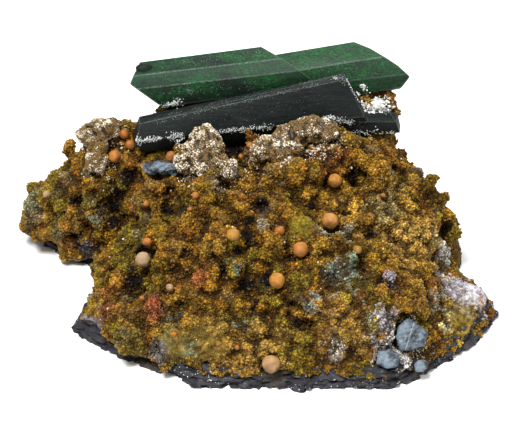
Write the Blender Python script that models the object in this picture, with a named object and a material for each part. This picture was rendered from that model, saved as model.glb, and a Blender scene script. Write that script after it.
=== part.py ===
"""Vivianite and wavellite specimen: dark green blades and wavellite balls on a lumpy limonite mass over slate.

The specimen stands on the flat cleavage face of its slate. X runs along the blades, Y from front to back, Z up.
Lists of places and sizes are in millimetres, and every object in the scene is in metres.
"""

import math
import random

import bmesh
import bpy
from mathutils import Matrix, Vector, noise
from mathutils.bvhtree import BVHTree

MM = 0.001

# Driving dimensions, in millimetres
GAP = 0.3  # clearance between pieces that touch
SLATE_THICKNESS = 3.0
SLATE_BEDS = 4  # beds that show as steps along the slate's broken edge
BED_STEP = 0.4  # how far one bed stands back from the bed below it, on average
BED_STEP_RANGE = 1.3  # how far the steps vary either way, in mm
LEAST_BED_STEP = 0.07
EDGE_BREAKS = 3.2  # rough length of one break along the slate's edge
CRUST_THICKNESS = 2.4  # limonite crust that covers the slate's upper face
CRUST_SETBACK = 0.4  # how far the crust stays inside the slate's top bed
CRUST_ROUNDING = ((-1.0, 0.4), (0.3, 0.0), (0.8, 0.7), (1.0, 2.2))  # share of its thickness, and mm further in
LOWEST_LIMONITE = 0.8  # limonite that hangs over the slate's edge ends this far above the table
SPECIMEN_SPAN = 110.0  # cutters that clear away a whole layer reach this far across
LAYER_DEPTH = 20.0  # how far such a cutter reaches down
SEAT_DEPTH = 3.0  # how far the slate's seat is cut down through what hangs over its edge
VOXEL = 0.85  # grid on which the overlapping lumps are fused
KNOB_RADII = (1.3, 3.4)
KNOB_COUNT = 340
KNOB_SPACING = 0.9  # least distance between two knobs, as a share of the larger radius
KNOB_RISE = 0.2  # how far a knob's centre stands out of the mass, as a share of its radius
LOW_KNOB = 0.6  # how high the lowest knobs stand over the lowest limonite, as a share of their radius
KNOB_TRIES = 40  # places tried for each knob
ON_SURFACE = 0.995  # a point nearer a mass's centre than this share of its size is inside it
LIMONITE_TRIANGLES = 3900
DRUSE_TRIANGLES = 300
BALL_SINK = 0.3  # how far a wavellite ball's centre is above its seat, as a share of its radius
SEED = 11

# Broken outline of the slate seen from above, from the front left corner round to the right
SLATE_OUTLINE = (
    (-31.4, -12.1), (-27.9, -16.2), (-21.7, -20.8), (-17.5, -23.6), (-13.7, -25.6), (-10.5, -28.7),
    (-5.0, -28.3), (0.5, -29.0), (4.6, -28.7), (6.7, -30.1), (9.0, -28.9), (13.4, -28.7), (21.0, -29.0),
    (24.5, -27.4), (28.4, -23.9), (32.3, -20.2), (35.3, -17.1), (38.6, -11.7), (40.3, -7.6), (39.8, -4.6),
    (36.4, 0.5), (34.8, 5.0), (35.6, 12.0), (33.5, 21.0), (25.0, 27.8), (12.0, 30.6), (-4.0, 29.4),
    (-16.0, 31.0), (-29.0, 28.6), (-37.0, 23.5), (-39.3, 16.5), (-36.6, 13.0), (-33.2, 9.8), (-28.4, 7.4),
    (-27.4, 0.0), (-29.6, -7.0),
)

# Main masses of the limonite: centre and half-sizes
MASSES = {
    "left_lobe": ((-28.6, 16.0, 7.2), (9.0, 10.0, 9.4)),
    "left_end": ((-35.6, 17.0, 6.5), (4.2, 6.5, 5.0)),
    "left_shoulder": ((-18.6, 17.0, 11.0), (9.8, 9.5, 11.6)),
    "crest_left": ((-6.0, 15.0, 11.0), (16.0, 12.5, 14.6)),
    "crest_right": ((11.6, 15.0, 11.0), (13.6, 12.5, 14.4)),
    "blade_seat": ((1.0, 20.0, 20.0), (22.0, 5.5, 7.6)),
    "right_flank": ((23.4, 7.5, 6.0), (8.0, 13.0, 10.4)),
    "middle_slope": ((2.0, -3.0, 5.0), (25.0, 17.0, 14.0)),
    "front_left": ((-18.0, -7.5, 4.0), (9.5, 11.0, 8.5)),
    "front_right": ((18.0, -11.0, 4.0), (14.0, 13.0, 9.6)),
    "front_apron": ((1.0, -18.0, 3.0), (25.0, 8.5, 5.0)),
}

# Large lumps that stand out of the masses: centre and half-sizes
LUMPS = {
    "left_rib": ((-18.2, 3.5, 16.0), (3.0, 3.2, 5.0)),
    "left_knee": ((-16.5, -9.5, 12.6), (3.6, 3.4, 3.2)),
    "middle_rib": ((-8.6, -1.5, 19.0), (4.0, 4.2, 5.0)),
    "middle_foot": ((-6.0, -12.0, 16.6), (3.6, 3.6, 3.4)),
    "middle_brow": ((6.5, 3.0, 21.6), (4.6, 3.6, 3.6)),
    "large_globe": ((7.4, -8.3, 18.0), (2.4, 2.4, 2.4)),
    "small_globe": ((3.6, -12.2, 18.4), (1.5, 1.5, 1.5)),
    "right_brow": ((19.6, 6.0, 19.6), (4.0, 4.0, 3.6)),
    "grey_knob_low": ((14.2, -13.8, 14.6), (3.0, 2.4, 2.2)),
    "grey_knob_high": ((13.0, -10.0, 16.4), (2.2, 2.2, 2.4)),
    "dome": ((14.2, -22.0, 6.4), (5.6, 4.6, 5.4)),
    "dome_brow_left": ((8.6, -20.8, 9.4), (1.7, 1.7, 2.6)),
    "dome_brow_top": ((13.2, -19.0, 11.8), (4.2, 1.7, 1.5)),
    "smooth_slab": ((-9.6, -23.2, 5.4), (7.2, 3.0, 5.2)),
    "front_left_foot": ((-21.5, -16.5, 4.6), (5.0, 4.0, 3.4)),
    "right_knob": ((29.6, 9.0, 16.6), (2.3, 2.3, 2.2)),
    "right_arm": ((32.6, 9.5, 13.2), (2.6, 1.2, 1.1)),
    "right_end_knob": ((33.2, 6.0, 6.6), (2.2, 2.2, 2.0)),
    "left_corner_knob": ((-35.4, 14.0, 13.2), (1.6, 1.8, 1.8)),
    "left_low_knob": ((-38.4, 14.5, 7.8), (2.2, 2.4, 2.6)),
    "left_top_lump": ((-28.0, 16.4, 19.6), (3.2, 3.0, 3.2)),
    "shoulder_lump": ((-23.6, 18.0, 21.8), (2.6, 2.6, 2.4)),
    "crest_end_lump": ((21.6, 18.6, 25.0), (2.2, 2.6, 3.2)),
    "ledge_lump": ((36.0, -8.0, 4.4), (3.0, 4.2, 1.6)),
}

# Hollows carved into the lumps: centre, half-sizes and lean about the y axis in degrees
HOLLOWS = {
    "left_crevice": ((-24.0, 5.2, 14.4), (1.7, 4.6, 6.4), 20),
    "left_pit": ((-13.6, -2.6, 18.0), (1.4, 3.2, 3.4), 10),
    "under_front_blade": ((-4.4, 9.4, 23.6), (2.8, 3.6, 2.8), 0),
    "middle_crevice_top": ((0.8, -4.4, 19.6), (1.2, 3.8, 3.0), 15),
    "middle_crevice": ((-1.8, -11.2, 18.0), (1.3, 4.6, 3.8), 15),
    "middle_valley": ((3.0, -8.6, 20.2), (1.9, 4.4, 3.0), -10),
    "middle_bowl": ((0.2, -16.6, 14.8), (3.4, 3.6, 3.0), 0),
    "left_valley": ((-20.6, -8.6, 12.6), (3.0, 3.0, 2.6), 25),
    "left_slot": ((-20.8, -13.6, 9.8), (1.2, 3.0, 2.6), -30),
    "right_pit": ((15.8, 4.6, 20.4), (1.8, 3.2, 1.8), 0),
    "right_valley": ((10.4, -3.0, 19.4), (2.4, 3.2, 1.6), 20),
    "grey_slot": ((17.8, -13.0, 14.6), (1.2, 3.2, 2.6), 25),
    "dome_side": ((20.4, -21.8, 8.2), (1.1, 3.0, 2.6), -15),
    "left_lobe_slot": ((-31.0, 7.8, 10.4), (1.0, 2.6, 2.6), 30),
    "back_hollow_left": ((-14.0, 28.0, 12.0), (3.6, 3.4, 4.0), 0),
    "back_hollow_right": ((12.0, 28.4, 10.0), (2.6, 3.4, 4.4), 20),
}

CORNER_SHARPNESS = 0.6  # how much of a corner's outward move reaches the blade's faces beside it

# Blades: a section of (y, z) corners at two stations along x, then the planes that end the blade as (point, normal)
FRONT_BLADE = {
    "stations": (-22.5, 19.5),
    "sections": (
        ((11.0, 26.2), (13.6, 26.2), (14.4, 24.2), (13.4, 21.2), (11.2, 20.8), (10.0, 23.8)),
        ((15.3, 34.2), (16.6, 34.6), (18.0, 31.0), (17.6, 24.4), (15.2, 23.0), (13.7, 26.8)),
    ),
    "ends": (
        ((-21.0, 12.0, 23.5), (-0.95, -0.1, 0.25)),
        ((-19.2, 12.0, 21.0), (-0.55, -0.2, -0.8)),
        ((14.2, 15.0, 34.5), (0.85, 0.0, 0.42)),
    ),
}
FRONT_SIDE_BLADE = {
    "stations": (2.0, 25.0),
    "sections": (
        ((13.2, 25.6), (15.4, 26.6), (17.0, 25.0), (16.4, 22.6), (13.6, 22.8)),
        ((14.4, 25.2), (16.2, 25.9), (17.8, 25.2), (17.2, 23.0), (14.8, 22.8)),
    ),
    "ends": (((23.9, 15.5, 24.4), (0.96, -0.1, 0.28)), ((23.0, 15.5, 25.6), (0.6, 0.0, 0.8))),
}
LEFT_BLADE = {
    "stations": (-23.5, 9.5),
    "sections": (
        ((21.4, 32.6), (18.2, 31.8), (16.6, 30.0), (16.2, 26.0), (17.8, 24.0), (21.6, 24.6), (23.2, 28.6)),
        ((21.4, 37.4), (18.2, 36.2), (16.8, 34.2), (16.9, 30.8), (18.6, 28.4), (21.6, 29.0), (23.2, 33.4)),
    ),
    "ends": (
        ((-22.0, 18.0, 30.6), (-0.92, 0.2, 0.33)),
        ((-22.0, 18.0, 30.6), (-0.58, -0.43, -0.69)),
        ((0.4, 21.4, 36.1), (0.57, 0.52, 0.64)),
    ),
}
RIGHT_BLADE = {
    "stations": (-2.0, 29.0),
    "sections": (
        ((24.0, 32.2), (20.6, 30.2), (19.4, 28.0), (19.8, 25.6), (21.4, 24.4), (25.0, 25.0), (26.2, 29.0)),
        ((24.0, 38.0), (20.4, 36.0), (19.2, 32.4), (19.4, 28.0), (21.2, 26.4), (25.0, 27.0), (26.4, 33.0)),
    ),
    "ends": (
        ((0.66, 21.63, 36.39), (-0.57, -0.52, -0.64)),
        ((16.2, 24.0, 35.7), (0.4, 0.485, 0.78)),
        ((19.8, 21.0, 35.6), (0.54, 0.45, 0.71)),
        ((23.2, 21.0, 33.2), (0.665, 0.4, 0.63)),
        ((26.1, 21.0, 30.4), (0.8, -0.32, -0.51)),
        ((24.6, 21.0, 28.1), (0.17, -0.52, -0.84)),
    ),
}
SHARD = {
    "stations": (-20.0, -13.0),
    "sections": (
        ((6.2, 21.0), (7.4, 21.6), (8.6, 21.0), (8.2, 19.6), (6.6, 19.6)),
        ((5.6, 20.4), (6.6, 21.2), (7.8, 20.8), (7.6, 19.4), (6.0, 19.2)),
    ),
    "ends": (((-19.4, 7.0, 20.5), (-0.9, -0.2, 0.3)), ((-13.6, 7.0, 20.5), (0.9, -0.3, 0.2))),
}

# Broken crystals set in the crust near the front right: centre, radius, depth, corners and turn in degrees
BLOCKS = {
    "blue_crystal_large": ((24.8, -23.4, 6.8), 2.7, 2.4, 8, 12),
    "blue_crystal_small": ((21.0, -26.5, 4.4), 1.9, 1.6, 6, 25),
    "blue_crystal_low": ((26.4, -26.0, 2.6), 1.2, 1.4, 6, 50),
}
BLOCK_FACING = Vector((-0.08, -0.76, 0.64))
BLOCK_FRONT = 0.5  # how far a block's bevelled front stands out of its centre
BLOCK_BEVEL = 0.4
BLOCK_UNEVEN = 0.16  # how far the corners vary, as a share of the radius

# Crusts of fine wavellite crystals: centres and radii of the lumps in each
CLUSTERS = {
    "wavellite_druse_shoulder": (
        ((-29.6, 15.4, 22.0), 1.5), ((-27.6, 15.6, 23.0), 1.6), ((-25.6, 15.2, 23.6), 1.5), ((-27.8, 13.6, 21.6), 1.5),
        ((-27.6, 10.8, 19.4), 1.7), ((-27.4, 12.2, 20.6), 1.4),
    ),
    "wavellite_druse_left": (
        ((-9.2, 8.6, 25.0), 2.3), ((-10.6, 7.2, 23.4), 2.2), ((-8.0, 7.4, 24.0), 2.0), ((-12.6, 6.6, 21.8), 1.7),
        ((-9.0, 5.4, 21.8), 2.0), ((-6.8, 4.8, 22.0), 1.8), ((-5.2, 4.0, 22.0), 1.5),
    ),
    "wavellite_druse_right": (
        ((0.4, 7.4, 23.4), 1.7), ((2.4, 8.2, 24.2), 1.8), ((4.6, 9.4, 25.2), 1.9), ((7.0, 9.6, 26.0), 2.0),
        ((9.4, 9.8, 26.6), 2.0), ((11.6, 9.4, 26.4), 1.7), ((3.8, 6.4, 22.6), 1.7), ((5.8, 7.2, 24.2), 1.6),
    ),
}

# Wavellite balls that sit on the limonite: a place near the seat and the ball's radius
BALLS = (
    ((1.9, -27.2, 3.9), 1.6), ((3.0, -18.2, 14.5), 1.4), ((6.8, -13.6, 17.3), 1.4), ((-19.0, -10.3, 13.0), 1.4),
    ((-4.8, -12.5, 18.4), 1.2), ((-25.0, 11.2, 21.6), 1.2), ((-23.0, 13.6, 23.4), 0.9), ((-15.7, 7.6, 22.4), 1.0),
    ((11.9, -6.2, 18.1), 1.5), ((12.9, 3.2, 19.8), 1.3), ((-18.0, -7.9, 14.6), 0.8), ((-14.7, -15.7, 11.3), 0.7),
    ((-36.7, 9.9, 13.5), 0.7), ((16.1, -11.0, 15.4), 0.8),
)

LIMONITE = ("limonite", (0.26, 0.13, 0.025), 0.85)
SLATE = ("slate", (0.035, 0.037, 0.05), 0.6)
DARK_VIVIANITE = ("dark_vivianite", (0.012, 0.022, 0.02), 0.35)
GREEN_VIVIANITE = ("green_vivianite", (0.01, 0.06, 0.025), 0.25)
BLUE_VIVIANITE = ("blue_grey_vivianite", (0.1, 0.13, 0.17), 0.5)
BALL_WAVELLITE = ("wavellite_ball", (0.5, 0.24, 0.09), 0.6)
WHITE_WAVELLITE = ("wavellite_druse", (0.55, 0.48, 0.36), 0.5)


def clear_scene():
    for old in list(bpy.data.objects):
        bpy.data.objects.remove(old)


def material(finish):
    """The named material, made once and shared."""
    name, colour, roughness = finish
    found = bpy.data.materials.get(name)
    if found:
        return found
    made = bpy.data.materials.new(name)
    made.use_nodes = True
    shader = made.node_tree.nodes["Principled BSDF"]
    shader.inputs["Base Color"].default_value = (*colour, 1.0)
    shader.inputs["Roughness"].default_value = roughness
    return made


def object_from(name, shape, finish=None):
    """Turns a bmesh in millimetres into an object in metres. One with no finish is a helper that only cuts."""
    bmesh.ops.scale(shape, vec=(MM, MM, MM), verts=shape.verts)
    bmesh.ops.recalc_face_normals(shape, faces=shape.faces)
    mesh = bpy.data.meshes.new(name)
    shape.to_mesh(mesh)
    shape.free()
    obj = bpy.data.objects.new(name, mesh)
    bpy.context.scene.collection.objects.link(obj)
    if finish:
        mesh.materials.append(material(finish))
    else:
        obj.hide_render = True
        obj.display_type = "WIRE"
    return obj


def combine(obj, other, operation):
    """Cuts a helper's shape out of an object, or joins it on."""
    step = obj.modifiers.new(other.name, "BOOLEAN")
    step.operation = operation
    step.solver = "EXACT"
    step.object = other


def fuse(obj, voxel):
    """Fuses an object's overlapping lumps on a voxel grid."""
    step = obj.modifiers.new("fuse_lumps", "REMESH")
    step.mode = "VOXEL"
    step.voxel_size = voxel * MM


def thin_out(obj, triangles):
    """Thins an object's fused surface to about this many flat facets."""
    bpy.context.view_layer.update()
    fused = obj.evaluated_get(bpy.context.evaluated_depsgraph_get()).data
    thin = obj.modifiers.new("facets", "DECIMATE")
    thin.ratio = min(1.0, triangles / (2 * len(fused.polygons)))


def add_ball(shape, centre, half_sizes, turn=0.0, lean=0.0, subdivisions=2):
    """Adds a round lump to a bmesh, turned about z or leaning about y."""
    place = (
        Matrix.Translation(Vector(centre))
        @ Matrix.Rotation(lean, 4, "Y")
        @ Matrix.Rotation(turn, 4, "Z")
        @ Matrix.Diagonal((*half_sizes, 1.0))
    )
    bmesh.ops.create_icosphere(shape, subdivisions=subdivisions, radius=1.0, matrix=place)


def stack_loops(shape, loops):
    """Walls between loops of equal length from the lowest to the highest, closed below and above."""
    rings = [[shape.verts.new(point) for point in loop] for loop in loops]
    for below, above in zip(rings, rings[1:]):
        for i in range(len(below)):
            j = (i + 1) % len(below)
            shape.faces.new((below[i], below[j], above[j], above[i]))
    shape.faces.new(list(reversed(rings[0])))
    shape.faces.new(rings[-1])


def slate_loop(level, height, grow):
    """The slate's outline at one bed, stepped in by rough amounts and moved outwards by grow."""
    loop = []
    corners = [Vector((x, y, height)) for x, y in SLATE_OUTLINE]
    for i, corner in enumerate(corners):
        along = (corners[(i + 1) % len(corners)] - corners[i - 1]).normalized()
        outward = Vector((along.y, -along.x, 0.0))
        step = 0.0
        for bed in range(1, level + 1):
            rough = noise.noise(Vector((corner.x / EDGE_BREAKS, corner.y / EDGE_BREAKS, bed * EDGE_BREAKS)))
            step += max(LEAST_BED_STEP, BED_STEP + BED_STEP_RANGE * rough)
        loop.append(corner + outward * (grow - step))
    return loop


def slate_shape(grow=0.0, deepen=0.0):
    """The slate as a stack of beds with a stepped edge. Its seat in the limonite is the same shape, grown."""
    shape = bmesh.new()
    loops = []
    for bed in range(SLATE_BEDS):
        low = SLATE_THICKNESS * bed / SLATE_BEDS + (grow if bed else -deepen)
        high = SLATE_THICKNESS * (bed + 1) / SLATE_BEDS + grow
        loops += [slate_loop(bed, low, grow), slate_loop(bed, high, grow)]
    stack_loops(shape, loops)
    return shape


def crust_shape():
    """The limonite crust over the slate's upper face, rounded in towards its top."""
    shape = bmesh.new()
    loops = []
    for rise, inset in CRUST_ROUNDING:
        height = SLATE_THICKNESS + CRUST_THICKNESS * rise
        loops.append(slate_loop(SLATE_BEDS - 1, height, -CRUST_SETBACK - inset))
    stack_loops(shape, loops)
    return shape


def blade_shape(spec, grow=0.0):
    """A blade with flat faces, lofted between its two sections and ended by flat planes."""
    shape = bmesh.new()
    loops = []
    for station, section, outward in zip(spec["stations"], spec["sections"], (-1, 1)):
        middle = sum((Vector(corner) for corner in section), Vector((0.0, 0.0))) / len(section)
        loop = []
        for corner in section:
            arm = Vector(corner) - middle
            grown = Vector(corner) + arm.normalized() * grow / CORNER_SHARPNESS
            loop.append(Vector((station + outward * grow, *grown)))
        loops.append(loop)
    stack_loops(shape, loops)
    for point, normal in spec["ends"]:
        normal = Vector(normal).normalized()
        cut_flat(shape, Vector(point) + normal * grow, normal)
    return shape


def cut_flat(shape, point, normal):
    """Cuts off what lies beyond a plane and closes the cut with one flat face."""
    everything = shape.verts[:] + shape.edges[:] + shape.faces[:]
    cut = bmesh.ops.bisect_plane(
        shape, geom=everything, plane_co=point, plane_no=normal, clear_outer=True
    )
    edges = [e for e in cut["geom_cut"] if isinstance(e, bmesh.types.BMEdge)]
    if edges:
        bmesh.ops.edgeloop_fill(shape, edges=edges)


def block_shape(spec, grow=0.0):
    """A broken crystal seen end on: a short prism with uneven corners that faces out of the slope."""
    centre, radius, depth, corners, turn = spec
    shape = bmesh.new()
    loops = []
    front = BLOCK_FRONT + grow
    for height, inset in ((-depth - grow, BLOCK_BEVEL), (front, 0.0), (front + BLOCK_BEVEL, BLOCK_BEVEL)):
        loop = []
        for i in range(corners):
            angle = math.radians(turn) + 2 * math.pi * i / corners
            reach = radius * (1.0 + BLOCK_UNEVEN * math.sin(2.3 * i + radius)) - inset + grow
            loop.append(Vector((reach * math.cos(angle), reach * math.sin(angle), height)))
        loops.append(loop)
    stack_loops(shape, loops)
    turned = BLOCK_FACING.to_track_quat("Z", "Y").to_matrix().to_4x4()
    bmesh.ops.transform(shape, matrix=Matrix.Translation(Vector(centre)) @ turned, verts=shape.verts)
    return shape


def cluster_shape(lumps, grow=0.0):
    shape = bmesh.new()
    for centre, radius in lumps:
        add_ball(shape, centre, (radius + grow,) * 3, turn=radius)
    return shape


def ball_shape(centre, radius, grow=0.0):
    """A wavellite ball about its own centre, with few enough faces to repeat."""
    shape = bmesh.new()
    bmesh.ops.create_uvsphere(
        shape, u_segments=10, v_segments=7, radius=radius + grow, matrix=Matrix.Translation(centre)
    )
    for face in shape.faces:
        face.smooth = True
    return shape


def outside_masses(point):
    """Whether a point is outside every main mass."""
    for centre, half_sizes in MASSES.values():
        arm = Vector((point - Vector(centre))[i] / half_sizes[i] for i in range(3))
        if arm.length < ON_SURFACE:
            return False
    return True


def scattered_knobs(rng):
    """Places and radii of the smaller knobs, spread over the outside of the main masses."""
    masses = list(MASSES.values())
    areas = [a * b + b * c + a * c for _, (a, b, c) in masses]
    knobs = []
    for _ in range(KNOB_COUNT * KNOB_TRIES):
        if len(knobs) == KNOB_COUNT:
            break
        centre, half_sizes = rng.choices(masses, areas)[0]
        way = Vector((rng.gauss(0, 1), rng.gauss(0, 1), rng.gauss(0, 1))).normalized()
        point = Vector(centre) + Vector(way[i] * half_sizes[i] for i in range(3))
        radius = rng.triangular(*KNOB_RADII, KNOB_RADII[0])
        if point.z < LOWEST_LIMONITE + radius * LOW_KNOB or not outside_masses(point):
            continue
        if any((point - p).length < KNOB_SPACING * max(radius, r) for p, r in knobs):
            continue
        knobs.append((point + way * radius * KNOB_RISE, radius))
    return knobs


def hollow_cutter():
    """The hollows, fused where they meet."""
    shape = bmesh.new()
    for centre, half_sizes, lean in HOLLOWS.values():
        add_ball(shape, centre, half_sizes, lean=math.radians(lean))
    cutter = object_from("hollow_cutter", shape)
    fuse(cutter, VOXEL / 2)
    return cutter


def floor_cutter():
    """Everything below the lowest limonite."""
    shape = bmesh.new()
    below = Matrix.Translation((0.0, 0.0, LOWEST_LIMONITE - LAYER_DEPTH / 2))
    place = below @ Matrix.Diagonal((SPECIMEN_SPAN, SPECIMEN_SPAN, LAYER_DEPTH, 1.0))
    bmesh.ops.create_cube(shape, size=1.0, matrix=place)
    return object_from("floor_cutter", shape)


def limonite_mass():
    """The lumpy mass: masses, lumps, knobs and crust fused together, hollowed and thinned to flat facets."""
    rng = random.Random(SEED)
    shape = crust_shape()
    for centre, half_sizes in MASSES.values():
        add_ball(shape, centre, half_sizes, subdivisions=4)
    for centre, half_sizes in LUMPS.values():
        add_ball(shape, centre, half_sizes, subdivisions=3)
    for point, radius in scattered_knobs(rng):
        squash = rng.uniform(0.75, 1.0)
        add_ball(shape, point, (radius, radius * squash, radius), turn=rng.uniform(0, math.pi))
    obj = object_from("limonite_mass", shape, LIMONITE)
    fuse(obj, VOXEL)
    combine(obj, hollow_cutter(), "DIFFERENCE")
    fuse(obj, VOXEL)
    thin_out(obj, LIMONITE_TRIANGLES)
    combine(obj, floor_cutter(), "DIFFERENCE")
    return obj


def ball_centres(mass):
    """Where each ball's centre is once it is set on the nearest limonite and sunk into its seat."""
    bpy.context.view_layer.update()
    surface = BVHTree.FromObject(mass, bpy.context.evaluated_depsgraph_get())
    centres = []
    for near, radius in BALLS:
        seat, normal, _, _ = surface.find_nearest(Vector(near) * MM)
        centres.append(seat / MM + normal * radius * BALL_SINK)
    return centres


def keep_largest_body(obj):
    """Applies an object's modifiers and drops the crumbs that its cuts leave loose."""
    bpy.context.view_layer.update()
    cut = bpy.data.meshes.new_from_object(obj.evaluated_get(bpy.context.evaluated_depsgraph_get()))
    shape = bmesh.new()
    shape.from_mesh(cut)
    waiting = set(shape.verts)
    bodies = []
    while waiting:
        body = {waiting.pop()}
        edge_of_body = list(body)
        while edge_of_body:
            vert = edge_of_body.pop()
            for edge in vert.link_edges:
                other = edge.other_vert(vert)
                if other not in body:
                    body.add(other)
                    edge_of_body.append(other)
        waiting -= body
        bodies.append(body)
    bodies.sort(key=len)
    bmesh.ops.delete(shape, geom=[vert for body in bodies[:-1] for vert in body], context="VERTS")
    shape.to_mesh(cut)
    shape.free()
    obj.modifiers.clear()
    obj.data = cut


def seat(shape, hosts, name):
    """Cuts room for a piece out of everything that it sits in."""
    socket = object_from(name + "_socket", shape)
    for host in hosts:
        combine(host, socket, "DIFFERENCE")


def main():
    clear_scene()
    mass = limonite_mass()
    centres = ball_centres(mass)
    slate = object_from("slate_base", slate_shape(), SLATE)
    seat(slate_shape(GAP, deepen=SEAT_DEPTH), [mass], "slate")

    druses = []
    for name, lumps in CLUSTERS.items():
        druse = object_from(name, cluster_shape(lumps), WHITE_WAVELLITE)
        fuse(druse, VOXEL / 2)
        thin_out(druse, DRUSE_TRIANGLES)
        socket = object_from(name + "_socket", cluster_shape(lumps, GAP))
        fuse(socket, VOXEL / 2)
        thin_out(socket, DRUSE_TRIANGLES)
        combine(mass, socket, "DIFFERENCE")
        druses.append(druse)

    front = object_from("vivianite_front_blade", blade_shape(FRONT_BLADE), DARK_VIVIANITE)
    combine(front, object_from("side_blade", blade_shape(FRONT_SIDE_BLADE)), "UNION")
    object_from("vivianite_left_blade", blade_shape(LEFT_BLADE), GREEN_VIVIANITE)
    object_from("vivianite_right_blade", blade_shape(RIGHT_BLADE), GREEN_VIVIANITE)
    object_from("vivianite_shard", blade_shape(SHARD), BLUE_VIVIANITE)
    for i, spec in enumerate((FRONT_BLADE, FRONT_SIDE_BLADE, LEFT_BLADE, RIGHT_BLADE, SHARD)):
        seat(blade_shape(spec, GAP), [mass, *druses], f"blade_{i}")

    for name, spec in BLOCKS.items():
        object_from(name, block_shape(spec), BLUE_VIVIANITE)
        seat(block_shape(spec, GAP), [mass, slate], name)
    for i, (centre, (_, radius)) in enumerate(zip(centres, BALLS), start=1):
        name = f"wavellite_ball_{i:02d}"
        ball = object_from(name, ball_shape(Vector((0.0, 0.0, 0.0)), radius), BALL_WAVELLITE)
        ball.location = centre * MM
        seat(ball_shape(centre, radius, GAP), [mass, slate, *druses], name)
    for piece in (mass, slate, *druses):
        keep_largest_body(piece)


main()
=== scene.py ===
"""Vivianite and wavellite specimen: the finish of every surface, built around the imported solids.

Lists of places and sizes are in millimetres, and every object in the scene is in metres.
"""

import math

import bmesh
import bpy
import numpy as np
from bpy.props import FloatProperty, FloatVectorProperty, IntProperty, PointerProperty
from mathutils import Matrix, Vector, noise
from mathutils.bvhtree import BVHTree
from mathutils.kdtree import KDTree


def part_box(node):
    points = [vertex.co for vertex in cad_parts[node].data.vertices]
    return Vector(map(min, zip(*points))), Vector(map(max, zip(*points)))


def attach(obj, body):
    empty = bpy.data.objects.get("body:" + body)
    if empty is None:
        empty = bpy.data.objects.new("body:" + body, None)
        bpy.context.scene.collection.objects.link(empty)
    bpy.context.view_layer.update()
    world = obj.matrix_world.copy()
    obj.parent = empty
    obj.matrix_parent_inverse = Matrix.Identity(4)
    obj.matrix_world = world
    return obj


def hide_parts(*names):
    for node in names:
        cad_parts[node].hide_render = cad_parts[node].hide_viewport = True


bl_info = {
    "name": "Vivianite and Wavellite Specimen",
    "version": (1, 0, 0),
    "blender": (4, 5, 0),
    "location": "3D View > Sidebar > Specimen",
    "description": "Dresses the packed solids of a mineral specimen with its real surfaces",
    "category": "Object",
}

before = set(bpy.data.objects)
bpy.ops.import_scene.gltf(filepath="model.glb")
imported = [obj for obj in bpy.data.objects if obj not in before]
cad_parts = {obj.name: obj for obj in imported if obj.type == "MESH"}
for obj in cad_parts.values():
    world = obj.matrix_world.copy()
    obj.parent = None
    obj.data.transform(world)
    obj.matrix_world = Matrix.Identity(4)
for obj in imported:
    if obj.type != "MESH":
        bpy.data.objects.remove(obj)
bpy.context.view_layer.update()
MM = 0.001
BODY = "root"
SEED = 23
# What each kind of piece adds to the seed, so that its random draws are its own
SEEDS = {"crust": 0, "grains": 0, "druses": 10, "slate": 30, "knob_colours": 40, "blue_crystals": 50, "fringes": 60}
BLADES = ("vivianite_front_blade", "vivianite_left_blade", "vivianite_right_blade")
BLUE_CRYSTALS = ("blue_crystal_large", "blue_crystal_small", "blue_crystal_low")
SHARD = "vivianite_shard"
# The crusts of fine wavellite, and how white each one is
DRUSES = {"wavellite_druse_shoulder": 0.2, "wavellite_druse_left": 0.42, "wavellite_druse_right": 0.1}
# The way that the camera looks into the specimen
INWARD = np.array((0.0, 0.85, -0.53))
# How many degrees the streaks in the green, dark and blue grey crystals lean from X
GREEN_LEAN, DARK_LEAN, FIBRE_LEAN = 8.5, 11, -62
# Clumps that the limonite is broken up into: their size and the shift of their noise
LARGE_CLUMPS, SMALL_CLUMPS, CREASES = (4.6, 3.0), (2.1, 8.0), (1.15, 5.0)
BEAD_COLOUR, DARK_DUST, CRYSTAL_WHITE = "#985c18", "#2a322f", "#ece3d0"
# Points tried for low knobs on the slate's edge, for strays round a piece and for a druse's knobs and crystals
SKIRT_TRIES, STRAY_TRIES, DRUSE_KNOB_TRIES, DRUSE_CRYSTAL_TRIES = 14000, 120000, 900, 6500
GRAIN_LAYERS = 3
# Grids that the druses and the blue grey crystals are fused on, and how far limonite stains a druse
DRUSE_GRID, PLATE_GRID, STAIN_REACH = 0.3 * MM, 0.12 * MM, 1.7 * MM
# Where the crust ends on the slate's broken edge: places along X and heights
CRUST_FOOT = ((-30, -22, -14, 6, 14, 22, 30, 36), (2.9, 2.9, 2.2, 2.0, 1.8, 1.8, 1.2, 0.9))
# Half the width over which the left blade passes into the right one, near X = 0
BLADES_MEET = 6 * MM
# The point that the camera and the lights face
TARGET = Vector((-0.25, 0.0, 15.2)) * MM


def linear(code):
    """An sRGB hex colour as the linear values that Blender works in."""
    parts = [int(code[k:k + 2], 16) / 255 for k in (1, 3, 5)]
    return tuple(c / 12.92 if c <= 0.04045 else ((c + 0.055) / 1.055) ** 2.4 for c in parts)


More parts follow.
